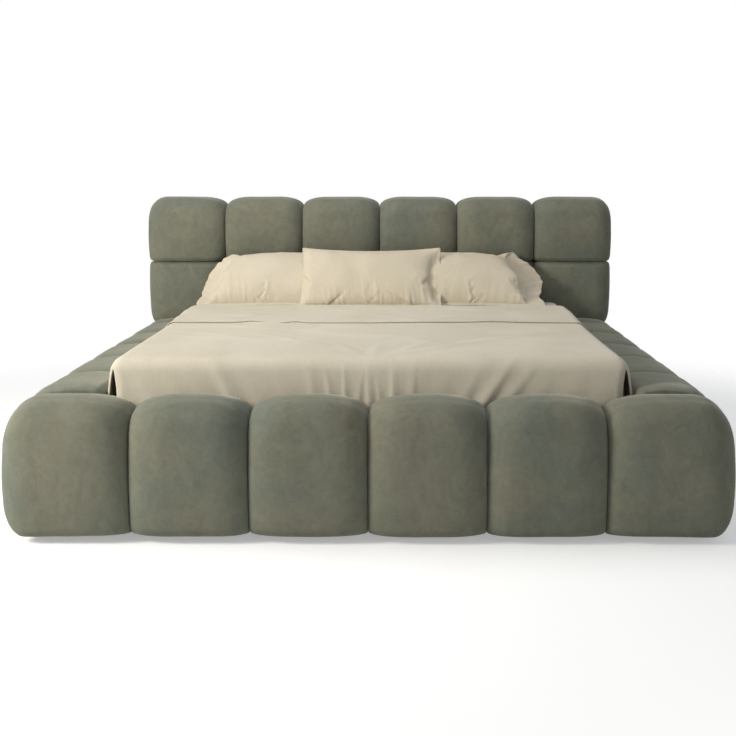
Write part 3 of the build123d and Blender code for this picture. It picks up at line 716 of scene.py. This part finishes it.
def edge_spacing(flat, round_count, end, hang_count):
    """Arc distances from where the quilt's flat top ends, over its rounded edge and down to a hem."""
    return np.linspace(flat, flat + arc, round_count)[1:], np.linspace(flat + arc, end, hang_count)[1:]


def quilt():
    middle = np.arange(-0.2, 0.2001, 0.005)
    outer = np.linspace(0.2, flat_x, 72)[1:]
    right = np.concatenate([outer, *edge_spacing(flat_x, 9, side_end, 14)])
    across = np.concatenate([-right[::-1], middle, right])
    rows = np.concatenate([np.linspace(-quilt_fold, flat_y, 136), *edge_spacing(flat_y, 11, foot_end, 18)])
    s, t = np.meshgrid(across, rows)
    x, y, z, down_x, down_y = quilt_surface(s, t)
    hang_x, hang_y = eased(down_x / quilt_hang_reach), eased(down_y / quilt_hang_reach)
    relief = quilt_relief(x, y)
    folds = np.zeros_like(s)
    wander = field(s, t * 0.5, 14, 3) * 0.006
    for place, width, height, slant, start in foot_drop_folds:
        drop = np.clip((t - (foot_end - 0.11 - start)) / (0.11 + start), 0, 1)
        bent = place + slant * (t - foot_end) * 0.5 + wander * (1 - drop)
        lean = 1 if slant < 0 else -1
        folds += height * drop**1.6 * fold_ridge(s, bent, width * (0.8 + 0.5 * drop), lean)
    folds *= eased((flat_x + 0.02 - np.abs(s)) / 0.06)
    side_wave = field(t * 3, s * 0.8, 1.8, 9)
    near_corner = eased((t - (flat_y - 0.16)) / 0.18)
    side_out = 0.003 + 0.005 * np.clip(side_wave + 0.3, 0, 1) + 0.014 * near_corner
    x = x + np.sign(x) * side_out * hang_x * np.clip(down_x / 0.12, 0, 1)
    z = z + (relief + folds * 0.45) * (1 - hang_x) * (1 - hang_y)
    front_wave = field(s * 2, t * 2, 1.7, 15)
    front_out = 0.004 + 0.004 * np.clip(front_wave + 0.3, 0, 1)
    y = y - hang_y * (folds + front_out * np.clip(down_y / 0.1, 0, 1))
    y = y - 0.5 * folds * (1 - hang_y) * eased(down_y / 0.008)
    near_fold = np.exp(-(((np.abs(s) - (flat_x + arc * 0.35)) / 0.03) ** 2))
    x = x - np.sign(x) * 0.012 * near_fold * eased(down_y / 0.1) * (hang_y > 0)
    keep_x = np.abs(0.5 * (s[:-1, :-1] + s[1:, 1:])) > flat_x + arc * 0.62
    keep_y = 0.5 * (t[:-1, :-1] + t[1:, 1:]) > flat_y + arc * 0.62
    keep = ~(keep_x & keep_y)
    points = np.stack([x.ravel(), y.ravel(), z.ravel()], 1)
    faces = grid_faces(len(rows), len(across), 0, keep)
    used = sorted({n for face in faces for n in face})
    renumber = {old: new for new, old in enumerate(used)}
    faces = [tuple(renumber[n] for n in face) for face in faces]
    piece = add_piece("quilt", points[used], faces, quilt_cloth)
    flat = (2 * side_end, foot_end + quilt_fold)
    finish_sheet(piece, flat=flat, held="draped", rests_on=["mattress_body"])


def finish_sheet(piece, **said):
    """Turns a sheet's faces up and thickens it. What is said of the sheet is not used."""
    mesh = piece.data
    mesh.update()
    if sum(p.normal.z * p.area for p in mesh.polygons) < 0:
        mesh.flip_normals()
    modifier = piece.modifiers.new("thickness", "SOLIDIFY")
    modifier.thickness = quilt_thick
    modifier.offset = -1
    bake(piece)
    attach(piece, "platform")
    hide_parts("duvet")


def evaluated_mesh(thing):
    """A smooth mesh of an object with its modifiers applied."""
    graph = bpy.context.evaluated_depsgraph_get()
    made = bpy.data.meshes.new_from_object(thing.evaluated_get(graph))
    made.name = thing.name
    smoothed(made)
    return made


def bake(piece):
    made = evaluated_mesh(piece)
    piece.modifiers.clear()
    piece.data = made


def turned_band():
    """The quilt's head end, rolled over at the fold and laid back towards the foot."""
    roll = 0.0052
    short = 0.003
    right = np.concatenate([np.linspace(0, flat_x, 120), *edge_spacing(flat_x, 9, side_end - short, 14)])
    across = np.concatenate([-right[::-1], right[1:]])
    turns = np.linspace(-math.pi / 2, math.pi / 2, 9)
    length = quilt_fold - quilt_hem_y
    laid = np.linspace(0, length, 84)[1:]
    rows_y = [quilt_fold + roll * math.cos(turn) for turn in turns] + list(quilt_fold - laid)
    rows_up = [roll + roll * math.sin(turn) for turn in turns] + [2 * roll] * len(laid)
    s, y = np.meshgrid(across, np.array(rows_y))
    up = np.meshgrid(across, np.array(rows_up))[1]
    back = np.clip(quilt_fold - y, 0, length)
    settle = 1 - eased((back - 0.03) / (length - 0.05))
    low_layer = quilt_thick + 0.0012
    up = np.where(up >= 2 * roll - 1e-9, low_layer + (2 * roll - low_layer) * settle, up)
    x, down = over_edge(np.abs(s), flat_x + up * 0.5, quilt_round)
    x *= np.sign(s)
    hang = eased(down / quilt_hang_reach)
    ripple = field(s * 1.1, y * 7, 1.2, 12)
    broad = field(s, y, 2.4, 14)
    edge = field(s * 2.2, s * 0, 1.0, 16)
    free = eased(back / 0.05) * eased((length - back) / 0.09)
    streak = field(s * 1.6 + y * 2.5, y * 26, 1.0, 18)
    rise = np.clip(broad * 0.006 + ripple * 0.006 + streak * 0.0034 + 0.0022, 0, 0.013) * free
    puff = 0.004 * np.exp(-((back / 0.045) ** 2)) * (back > 0)
    hem_roll = 0.0012 * np.exp(-(((length - back) / 0.008) ** 2))
    lift = quilt_relief(x, y) * (1 - hang) + up + (rise + puff + hem_roll) * (1 - hang)
    z = quilt_rest + lift - down
    y = y + edge * 0.008 * eased(back / 0.3)
    side_out = 0.0046 + 0.005 * np.clip(down / 0.12, 0, 1) * (0.6 + 0.4 * np.clip(broad * 2, -1, 1))
    x = x + np.sign(x) * side_out * hang
    points = np.stack([x.ravel(), y.ravel(), z.ravel()], 1)
    piece = add_piece("quilt_turned_back", points, grid_faces(len(rows_y), len(across)), quilt_cloth)
    flat = (2 * (side_end - short), length + roll * math.pi)
    finish_sheet(piece, flat=flat, held="folded", rests_on=["quilt"])


# Mattress


def mattress_piece():
    """A foam body with a nearly flat top and a taped edge above and below."""
    low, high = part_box("mattress")
    corner, edge = 0.06, 0.024
    grid = 46
    corners = []
    half_x, half_y = (high[0] - low[0]) / 2, (high[1] - low[1]) / 2
    for quarter, (way_x, way_y) in enumerate(((1, 1), (-1, 1), (-1, -1), (1, -1))):
        for k in range(11):
            turn = (quarter + k / 10) * math.pi / 2
            cx, cy = way_x * (half_x - corner), way_y * (half_y - corner)
            corners.append(np.array((cx + corner * math.cos(turn), cy + corner * math.sin(turn))))
    plan = []
    for here, there in zip(corners, corners[1:] + corners[:1]):
        steps = max(1, int(np.linalg.norm(there - here) / 0.045))
        plan += [here + (there - here) * k / steps for k in range(steps)]
    middle_y = (low[1] + high[1]) / 2
    count = len(plan)
    turns = [k / 6 * math.pi / 2 for k in range(7)]
    levels = [(edge * (1 - math.sin(turn)), edge * (1 - math.cos(turn))) for turn in turns]
    height = high[2] - low[2]
    profile = [(inset, low[2] + rise) for inset, rise in levels]
    for k in range(1, 12):
        share = k / 12
        swell = 0.004 * math.sin(math.pi * share)
        profile.append((0.001 - swell + 0.004, low[2] + edge + (height - 2 * edge) * share))
    profile += [(inset, high[2] - rise) for inset, rise in reversed(levels)]
    points = []
    for inset, z in profile:
        inset = max(inset, 0.0005)
        scale_x, scale_y = (half_x - inset) / half_x, (half_y - inset) / half_y
        points += [(px * scale_x, middle_y + py * scale_y, z) for px, py in plan]
    for k in range(1, grid):
        share = 1 - k / grid
        z = high[2] - 0.0015 * (1 - share**2) * 0.2 - 0.0004
        for px, py in plan:
            y = middle_y + py * (half_y - edge) / half_y * share
            points.append((px * (half_x - edge) / half_x * share, y, z))
    faces = []
    for start in range(0, len(points) - count, count):
        faces += strip_faces(count, start, start + count)
    faces.append(tuple(range(len(points) - count, len(points))))
    faces.append(tuple(reversed(range(count))))
    piece = add_piece("mattress_body", points, faces, mattress_cloth)
    turn_outwards(piece)
    finish_soft(piece, "mattress", "platform", 0.95)
    tree = roll_tree()
    for label, z in (("low", low[2] + edge * 0.9), ("high", high[2] - edge * 0.9)):
        path = [
            (px * (half_x - 0.003) / half_x, middle_y + py * (half_y - 0.003) / half_y, z) for px, py in plan
        ]
        tape = rolled_edge(f"mattress_tape_{label}", path, 0.0035, tree)
        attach(tape, "platform")


def rolled_edge(name, path, radius, tree):
    """A thin closed roll of cloth along a path, made by a node tree with named inputs."""
    curve = bpy.data.curves.new(name, "CURVE")
    curve.dimensions = "3D"
    spline = curve.splines.new("POLY")
    spline.points.add(len(path) - 1)
    for point, place in zip(spline.points, path):
        point.co = (*place, 1)
    spline.use_cyclic_u = True
    piece = new_object(name, curve)
    modifier = piece.modifiers.new("roll", "NODES")
    modifier.node_group = tree
    given = {"Radius": radius, "Material": mattress_cloth}
    for item in tree.interface.items_tree:
        if item.item_type == "SOCKET" and item.in_out == "INPUT" and item.name in given:
            modifier[item.identifier] = given[item.name]
    mesh = evaluated_mesh(piece)
    bpy.data.objects.remove(piece)
    piece = new_object(name, mesh)
    turn_outwards(piece)
    return piece


def roll_tree():
    """A node tree that sweeps a circle along a curve and gives the roll its material."""
    tree = bpy.data.node_groups.new("cloth_roll", "GeometryNodeTree")
    for name, way, kind in (
        ("Geometry", "INPUT", "Geometry"),
        ("Radius", "INPUT", "Float"),
        ("Material", "INPUT", "Material"),
        ("Geometry", "OUTPUT", "Geometry"),
    ):
        tree.interface.new_socket(name, in_out=way, socket_type="NodeSocket" + kind)
    kinds = ("CurvePrimitiveCircle", "CurveToMesh", "RealizeInstances", "SetMaterial")
    circle, sweep, real, paint = (tree.nodes.new("GeometryNode" + kind) for kind in kinds)
    start, end = tree.nodes.new("NodeGroupInput"), tree.nodes.new("NodeGroupOutput")
    circle.inputs["Resolution"].default_value = 8
    for source, given, target, taken in (
        (start, "Radius", circle, "Radius"),
        (start, "Geometry", sweep, "Curve"),
        (circle, "Curve", sweep, "Profile Curve"),
        (sweep, "Mesh", real, "Geometry"),
        (real, "Geometry", paint, "Geometry"),
        (start, "Material", paint, "Material"),
        (paint, "Geometry", end, "Geometry"),
    ):
        tree.links.new(source.outputs[given], target.inputs[taken])
    return tree
# Pillows

# How far each step of a flange turns towards the back, from its seam to its free edge
flange_bends = (1.0, 1.0, 0.85, 0.5, 0.3, 0.25, 0.3)
pillow_rest_gap = 0.006
pillow_wall_gap = 0.003
pillow_press = 0.013
hem_width = 0.025
hem_turn = 18
open_end_width = 0.05
case_half_thick = 0.0013


def rim_of(rows, columns):
    rim = np.zeros((rows, columns), bool)
    rim[0], rim[-1], rim[:, 0], rim[:, -1] = True, True, True, True
    return rim


def blown_bag(long, high, columns, rows, frames, pressure):
    """Two flat layers joined at the rim and filled with air, as two grids of points."""
    xs = np.linspace(-long / 2, long / 2, columns)
    ys = np.linspace(-high / 2, high / 2, rows)
    x, y = np.meshgrid(xs, ys)
    start = 0.004 * (1 - (2 * x / long) ** 4) * (1 - (2 * y / high) ** 4)
    front = np.arange(rows * columns).reshape(rows, columns)
    back = front.copy()
    points = [tuple(p) for p in np.stack([x.ravel(), y.ravel(), start.ravel()], 1)]
    for r, c in np.argwhere(~rim_of(rows, columns)):
        back[r, c] = len(points)
        points.append((x[r, c], y[r, c], -start[r, c]))
    faces = []
    for r in range(rows - 1):
        for c in range(columns - 1):
            faces.append((front[r, c], front[r, c + 1], front[r + 1, c + 1], front[r + 1, c]))
            faces.append((back[r, c], back[r + 1, c], back[r + 1, c + 1], back[r, c + 1]))
    mesh = bpy.data.meshes.new("bag")
    mesh.from_pydata(points, [], [tuple(int(n) for n in f) for f in faces])
    bag = new_object("bag", mesh)
    modifier = bag.modifiers.new("cloth", "CLOTH")
    cloth = modifier.settings
    for setting, value in {
        "quality": 6,
        "mass": 0.25,
        "tension_stiffness": 18,
        "compression_stiffness": 18,
        "shear_stiffness": 6,
        "bending_stiffness": 0.12,
        "air_damping": 3,
        "use_pressure": True,
        "uniform_pressure_force": pressure,
    }.items():
        setattr(cloth, setting, value)
    cloth.effector_weights.gravity = 0
    modifier.collision_settings.use_collision = False
    modifier.point_cache.frame_start = 1
    modifier.point_cache.frame_end = frames
    scene = bpy.context.scene
    for n in range(1, frames + 1):
        scene.frame_set(n)
    graph = bpy.context.evaluated_depsgraph_get()
    made = bag.evaluated_get(graph).data
    places = np.array([v.co for v in made.vertices])
    bpy.data.objects.remove(bag)
    scene.frame_set(1)
    return places[front], places[back]


def ring_order(rows, columns):
    """The rim's grid places in order, once round, from the lower left corner."""
    order = [(0, c) for c in range(columns - 1)]
    order += [(r, columns - 1) for r in range(rows - 1)]
    order += [(rows - 1, c) for c in range(columns - 1, 0, -1)]
    order += [(r, 0) for r in range(rows - 1, 0, -1)]
    return order


def finer(layer):
    """A grid of points with a smooth new row and column between each two."""
    for axis in (0, 1):
        layer = np.moveaxis(layer, axis, 0)
        padded = np.concatenate([2 * layer[:1] - layer[1:2], layer, 2 * layer[-1:] - layer[-2:-1]])
        between = (9 * (padded[1:-2] + padded[2:-1]) - padded[:-3] - padded[3:]) / 16
        out = np.empty((2 * len(layer) - 1, *layer.shape[1:]))
        out[::2], out[1::2] = layer, between
        layer = np.moveaxis(out, 0, axis)
    return layer


def calmed(layer, passes):
    """The same layer with the creases of its upper part smoothed out."""
    keep = np.clip(np.linspace(1.3, -0.4, len(layer)), 0, 1)[:, None, None]
    smooth = layer.copy()
    for n in range(passes):
        smooth[1:-1] = (smooth[:-2] + 2 * smooth[1:-1] + smooth[2:]) / 4
        smooth[:, 1:-1] = (smooth[:, :-2] + 2 * smooth[:, 1:-1] + smooth[:, 2:]) / 4
    return layer * keep + smooth * (1 - keep)


def shaped_bag(layers, size, outline):
    """A blown bag pulled out to an outline: its ends and edges follow the given curves."""
    long, high, thick = size
    left, right, bottom, top = outline
    rows, columns = layers[0].shape[:2]
    both = np.concatenate([layer.reshape(-1, 3) for layer in layers])
    low, up = both.min(axis=0), both.max(axis=0)
    middle = (low + up) / 2
    scale = np.array([long, high, thick]) / (up - low)
    share_r = np.linspace(0, 1, rows)[:, None]
    share_c = np.linspace(0, 1, columns)[None, :]
    out = []
    for layer in layers:
        x, u, w = np.moveaxis((layer - middle) * scale, 2, 0)
        x = x + (left(share_r) - x[:, :1]) * (1 - share_c) + (right(share_r) - x[:, -1:]) * share_c
        u = u + (bottom(share_c) - u[:1]) * (1 - share_r) + (top(share_c) - u[-1:]) * share_r
        out.append(np.stack([x, u, w], 2))
    return out


def pillow_case(side, layers, size, outline, flange, lean, centre_x, seed, mirror=1):
    """A filled case with a limp flange round it, leaning back on what is behind it.

    Flange gives its width and its backward turn at each place of the rim.
    """
    lean = math.radians(lean)
    backwards = np.array([0, math.cos(lean), -math.sin(lean)])
    long, high = size[:2]
    rows, columns = layers[0].shape[:2]
    front, back = shaped_bag(layers, size, outline(long, high))
    rim = rim_of(rows, columns)
    join = (front[rim] + back[rim]) / 2
    front[rim] = join + (0, 0, case_half_thick)
    back[rim] = join - (0, 0, case_half_thick)
    points = [*front.reshape(-1, 3), *back.reshape(-1, 3)]
    faces = grid_faces(rows, columns)
    offset = rows * columns
    faces += [tuple(reversed(f)) for f in grid_faces(rows, columns, offset)]
    order = ring_order(rows, columns)
    count = len(order)
    front_loop = [r * columns + c for r, c in order]
    back_loop = [offset + n for n in front_loop]
    path = np.array([(front[r, c] + back[r, c]) / 2 for r, c in order])
    onward = np.roll(path, -2, axis=0) - np.roll(path, 2, axis=0)
    aside = np.stack([onward[:, 1], -onward[:, 0], np.zeros(count)], 1)
    aside /= np.linalg.norm(aside, axis=1, keepdims=True)
    for k in range(6):
        aside = (np.roll(aside, 1, axis=0) + aside * 2 + np.roll(aside, -1, axis=0)) / 4
    aside /= np.linalg.norm(aside, axis=1, keepdims=True)
    length = np.cumsum(np.linalg.norm(np.roll(path, -1, axis=0) - path, axis=1))
    widths, turns = np.array([flange(r / (rows - 1), c / (columns - 1)) for r, c in order]).T.copy()
    phase = np.random.default_rng(seed).uniform(0, 6.28, 4)
    wave = (
        np.sin(length * 78 + phase[0] + 3 * np.sin(length * 19 + phase[3])) * 0.6
        + np.sin(length * 143 + phase[1] + 2 * np.sin(length * 31)) * 0.3
        + np.sin(length * 29 + phase[2]) * 0.6
    )
    place = path
    for k, bend in enumerate(flange_bends):
        share = (k + 1) / len(flange_bends)
        turn = turns * bend
        part = widths / len(flange_bends)
        place = place + aside * (part * np.cos(turn) * (1 + 0.04 * wave))[:, None]
        place = place + backwards * (part * np.sin(turn))[:, None]
        ruffle = wave * np.minimum(part * 0.16, 0.0012) * share
        place = place + np.outer(ruffle, (0, 0, 1))
        start = len(points)
        points += [p + (0, 0, case_half_thick) for p in place]
        points += [p - (0, 0, case_half_thick) for p in place]
        ring_front = list(range(start, start + count))
        ring_back = list(range(start + count, start + 2 * count))
        for n in range(count):
            m = (n + 1) % count
            faces.append((front_loop[n], ring_front[n], ring_front[m], front_loop[m]))
            faces.append((back_loop[n], back_loop[m], ring_back[m], ring_back[n]))
        front_loop, back_loop = ring_front, ring_back
    for n in range(count):
        m = (n + 1) % count
        faces.append((front_loop[n], back_loop[n], back_loop[m], front_loop[m]))
    local = np.array(points)
    x, u, w = local[:, 0], local[:, 1], local[:, 2]
    above = np.clip((u + high / 2) / high, 0, 1)
    inside = eased(w / 0.012)
    reach = 0.16 + 0.3 * np.clip(field(x * 7, u * 0, 1.0, seed + 6) + 0.2, 0, 1)
    sway = field(x * 5, u * 6, 1.0, seed + 8) * 0.35
    creases = field((x + u * 0.12) * 62 + sway, u * 3.5, 1.0, seed)
    pleats = np.clip(1 - np.abs(creases) * 3.0, 0, 1) ** 2
    gather = 0.35 + 0.65 * np.clip(field(x * 4, u * 0, 1.0, seed + 9) * 2.2 + 0.5, 0, 1)
    w = w + (creases * 0.004 - pleats * 0.0045) * gather * np.exp(-((above / reach) ** 1.6)) * inside
    w = w + field(x, u, 8, seed + 2) * 0.0035 * inside
    drag = np.exp(-(((x + 0.55 * u + long * 0.12) / 0.05) ** 2)) * np.exp(-(((above - 0.72) / 0.3) ** 2))
    w = w - drag * 0.004 * inside
    y = u * math.cos(lean) - w * math.sin(lean)
    z = u * math.sin(lean) + w * math.cos(lean)
    low_box, high_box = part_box(f"pillow_{side}")
    rest, wall = low_box[2] + pillow_rest_gap, high_box[1] - pillow_wall_gap
    z += high_box[2] - z.max()
    y += wall - y.max()
    z = rest + pressed(z - rest, pillow_press)
    y = wall - pressed(wall - y, pillow_press)
    placed = np.stack([x * mirror + centre_x, y, z], 1)
    piece = add_piece(f"pillow_case_{side}", placed, faces, pillow_cloth)
    close_shell(piece)
    modifier = piece.modifiers.new("smooth", "SUBSURF")
    modifier.levels = modifier.render_levels = 1
    bake(piece)
    finish_soft(piece, f"pillow_{side}", "pillows", 0.6)


def pressed(distance, soft):
    """Distance to a surface, with what would sink into it pushed flat against it."""
    return soft * np.log1p(np.exp(np.clip(distance / soft, -30, 30)))


def wide_pillow_outline(long, high):
    """Ends and edges of a wide case whose outer end is drawn in towards its top."""

    def top(share):
        slump = 0.09 * np.clip(1 - share / 0.3, 0, 1) ** 2
        return high / 2 - high * (slump + 0.035 * (1 - np.sin(math.pi * np.clip(share, 0.12, 0.9))))

    return (
        lambda share: -long / 2 + long * (0.004 + 0.125 * share**1.15),
        lambda share: long / 2 - long * 0.02 * np.sin(math.pi * share),
        lambda share: -high / 2 + high * 0.03 * np.sin(math.pi * share) ** 0.8,
        top,
    )


def wide_pillow_flange(open_width, open_turn, ear):
    """The open end hangs limp and wide at the outer side; elsewhere a narrow flange."""

    def flange(share_r, share_c):
        if share_c == 0:
            bow = math.sin(math.pi * min(1, max(0, share_r * 0.86 + 0.05))) ** 0.7
            low = max(0.0, 1 - share_r / 0.12)
            return 0.012 + open_width * bow * (1 - low) + ear * low, math.radians(open_turn * (1 - low))
        if share_r == 1:
            near = max(0.0, 1 - share_c / 0.07)
            return 0.007 + open_width * 0.3 * near, math.radians(30)
        if share_r == 0:
            near = max(0.0, 1 - share_c / 0.08)
            return hem_width + (ear - hem_width) * near, math.radians(hem_turn * (1 - near))
        return 0.01, 0.3

    return flange


def square_pillow_outline(long, high):
    """Ends and edges of a smaller case with pointed corners; its right end is the open one."""
    return (
        lambda share: -long / 2 + long * 0.016 * np.sin(math.pi * share) + long * 0.004 * share,
        lambda share: long / 2 - open_end_width * np.sin(math.pi * share) ** 0.8 - long * 0.004,
        lambda share: -high / 2 + high * 0.03 * np.sin(math.pi * share),
        lambda share: high / 2 - high * 0.065 * np.sin(math.pi * share) ** 0.7,
    )


def square_pillow_flange(share_r, share_c):
    if share_c == 1:
        return 0.006 + open_end_width * 1.1 * math.sin(math.pi * share_r) ** 0.8, math.radians(34)
    if share_r == 0:
        return 0.6 * hem_width, math.radians(hem_turn)
    return 0.005, 0.0


def pillows():
    frames = 44
    wide = [finer(calmed(layer, 3)) for layer in blown_bag(0.82, 0.42, 61, 33, frames, 5.0)]
    square = [finer(calmed(layer, 4)) for layer in blown_bag(0.7, 0.36, 55, 31, frames, 4.0)]
    size = (0.765, 0.36, 0.16)
    for side, outer_x, open_width, open_turn, ear, seed in (
        ("left", -0.837, 0.135, 86, 0.05, 31),
        ("right", 0.734, 0.16, 62, 0.085, 37),
    ):
        mirror = -1 if outer_x > 0 else 1
        flange = wide_pillow_flange(open_width, open_turn, ear)
        centre_x = outer_x + mirror * size[0] / 2
        pillow_case(side, wide, size, wide_pillow_outline, flange, 41, centre_x, seed, mirror)
    low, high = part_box("pillow_front")
    size = (0.68, 0.338, 0.13)
    centre_x = (low[0] + high[0]) / 2
    pillow_case("front", square, size, square_pillow_outline, square_pillow_flange, 54, centre_x, 41)


# Floor, light and camera

floor_reach = 9
floor_fade_start = 1.9
floor_fade_end = 3.6


def studio():
    paint = new_paint("floor")
    paint.shade(Base_Color=grey(0.86), Roughness=0.9, Specular_IOR_Level=0.1)
    seen = paint.camera_sees()
    glow = paint.add("Emission", "Emission", Color=grey(1), Strength=paint.maths("MULTIPLY", seen, 0.36))
    both = paint.add("AddShader", "Shader", {0: paint.shader.outputs["BSDF"], 1: glow})
    far = paint.add("VectorMath", "Value", {0: paint.place}, [("operation", "LENGTH")])
    limits = {"From_Min": floor_fade_start, "From_Max": floor_fade_end}
    smooth = [("interpolation_type", "SMOOTHSTEP")]
    fade = paint.add("MapRange", "Result", settings=smooth, Value=far, **limits)
    clear = paint.add("BsdfTransparent", "BSDF")
    blend = paint.add("MixShader", "Shader", {0: paint.maths("MULTIPLY", fade, seen), 1: both, 2: clear})
    paint.put(paint.nodes["Material Output"].inputs, {"Surface": blend})
    corners = [(x * floor_reach, y * floor_reach, 0) for x, y in ((-1, -1), (1, -1), (1, 1), (-1, 1))]
    add_piece("floor", corners, [(0, 1, 2, 3)], paint.owner)

    world = bpy.data.worlds.new("studio")
    bpy.context.scene.world = world
    paint = Paint(world)
    fill = paint.nodes["Background"]
    paint.put(fill.inputs, {"Color": (0.93, 0.96, 1.0, 1), "Strength": 0.3})
    white = paint.add("Background", 0, Color=grey(1), Strength=1.0)
    mix = paint.add("MixShader", 0, {0: paint.camera_sees(), 1: fill.outputs[0], 2: white})
    paint.put(paint.nodes["World Output"].inputs, {"Surface": mix})

    for name, place, aim, size, power, colour in (
        ("key", (-3.7, -2.5, 2.1), (0, -0.4, 0.35), 1.2, 150, (1.0, 0.96, 0.88)),
        ("fill", (3.0, -5.0, 2.0), (0, -0.6, 0.4), 3.0, 10, (0.93, 0.97, 1.0)),
        ("top", (-0.8, 0.2, 3.6), (0, 0, 0.4), 2.6, 44, (1.0, 0.98, 0.94)),
    ):
        lamp = bpy.data.lights.new(name, "AREA")
        lamp.shape = "SQUARE"
        lamp.size = size
        lamp.energy = power
        lamp.color = colour
        light = new_object(name, lamp)
        light.location = place
        light.rotation_euler = (Vector(aim) - Vector(place)).to_track_quat("-Z", "Y").to_euler()

    camera_data = bpy.data.cameras.new("camera")
    camera_data.sensor_width = 36
    camera_data.lens = 59.49
    camera_data.shift_x = -0.0326
    camera_data.clip_end = 100
    camera = new_object("camera", camera_data)
    camera.location = (0.1086, -5.1889, 1.2277)
    camera.rotation_euler = (math.radians(90 - 9.059), 0, math.radians(0.401))
    bpy.context.scene.camera = camera
    bpy.context.scene.view_settings.view_transform = "Standard"


footboard_blocks()
headboard_blocks()
rail_blocks()
mattress_piece()
quilt()
turned_band()
pillows()
studio()
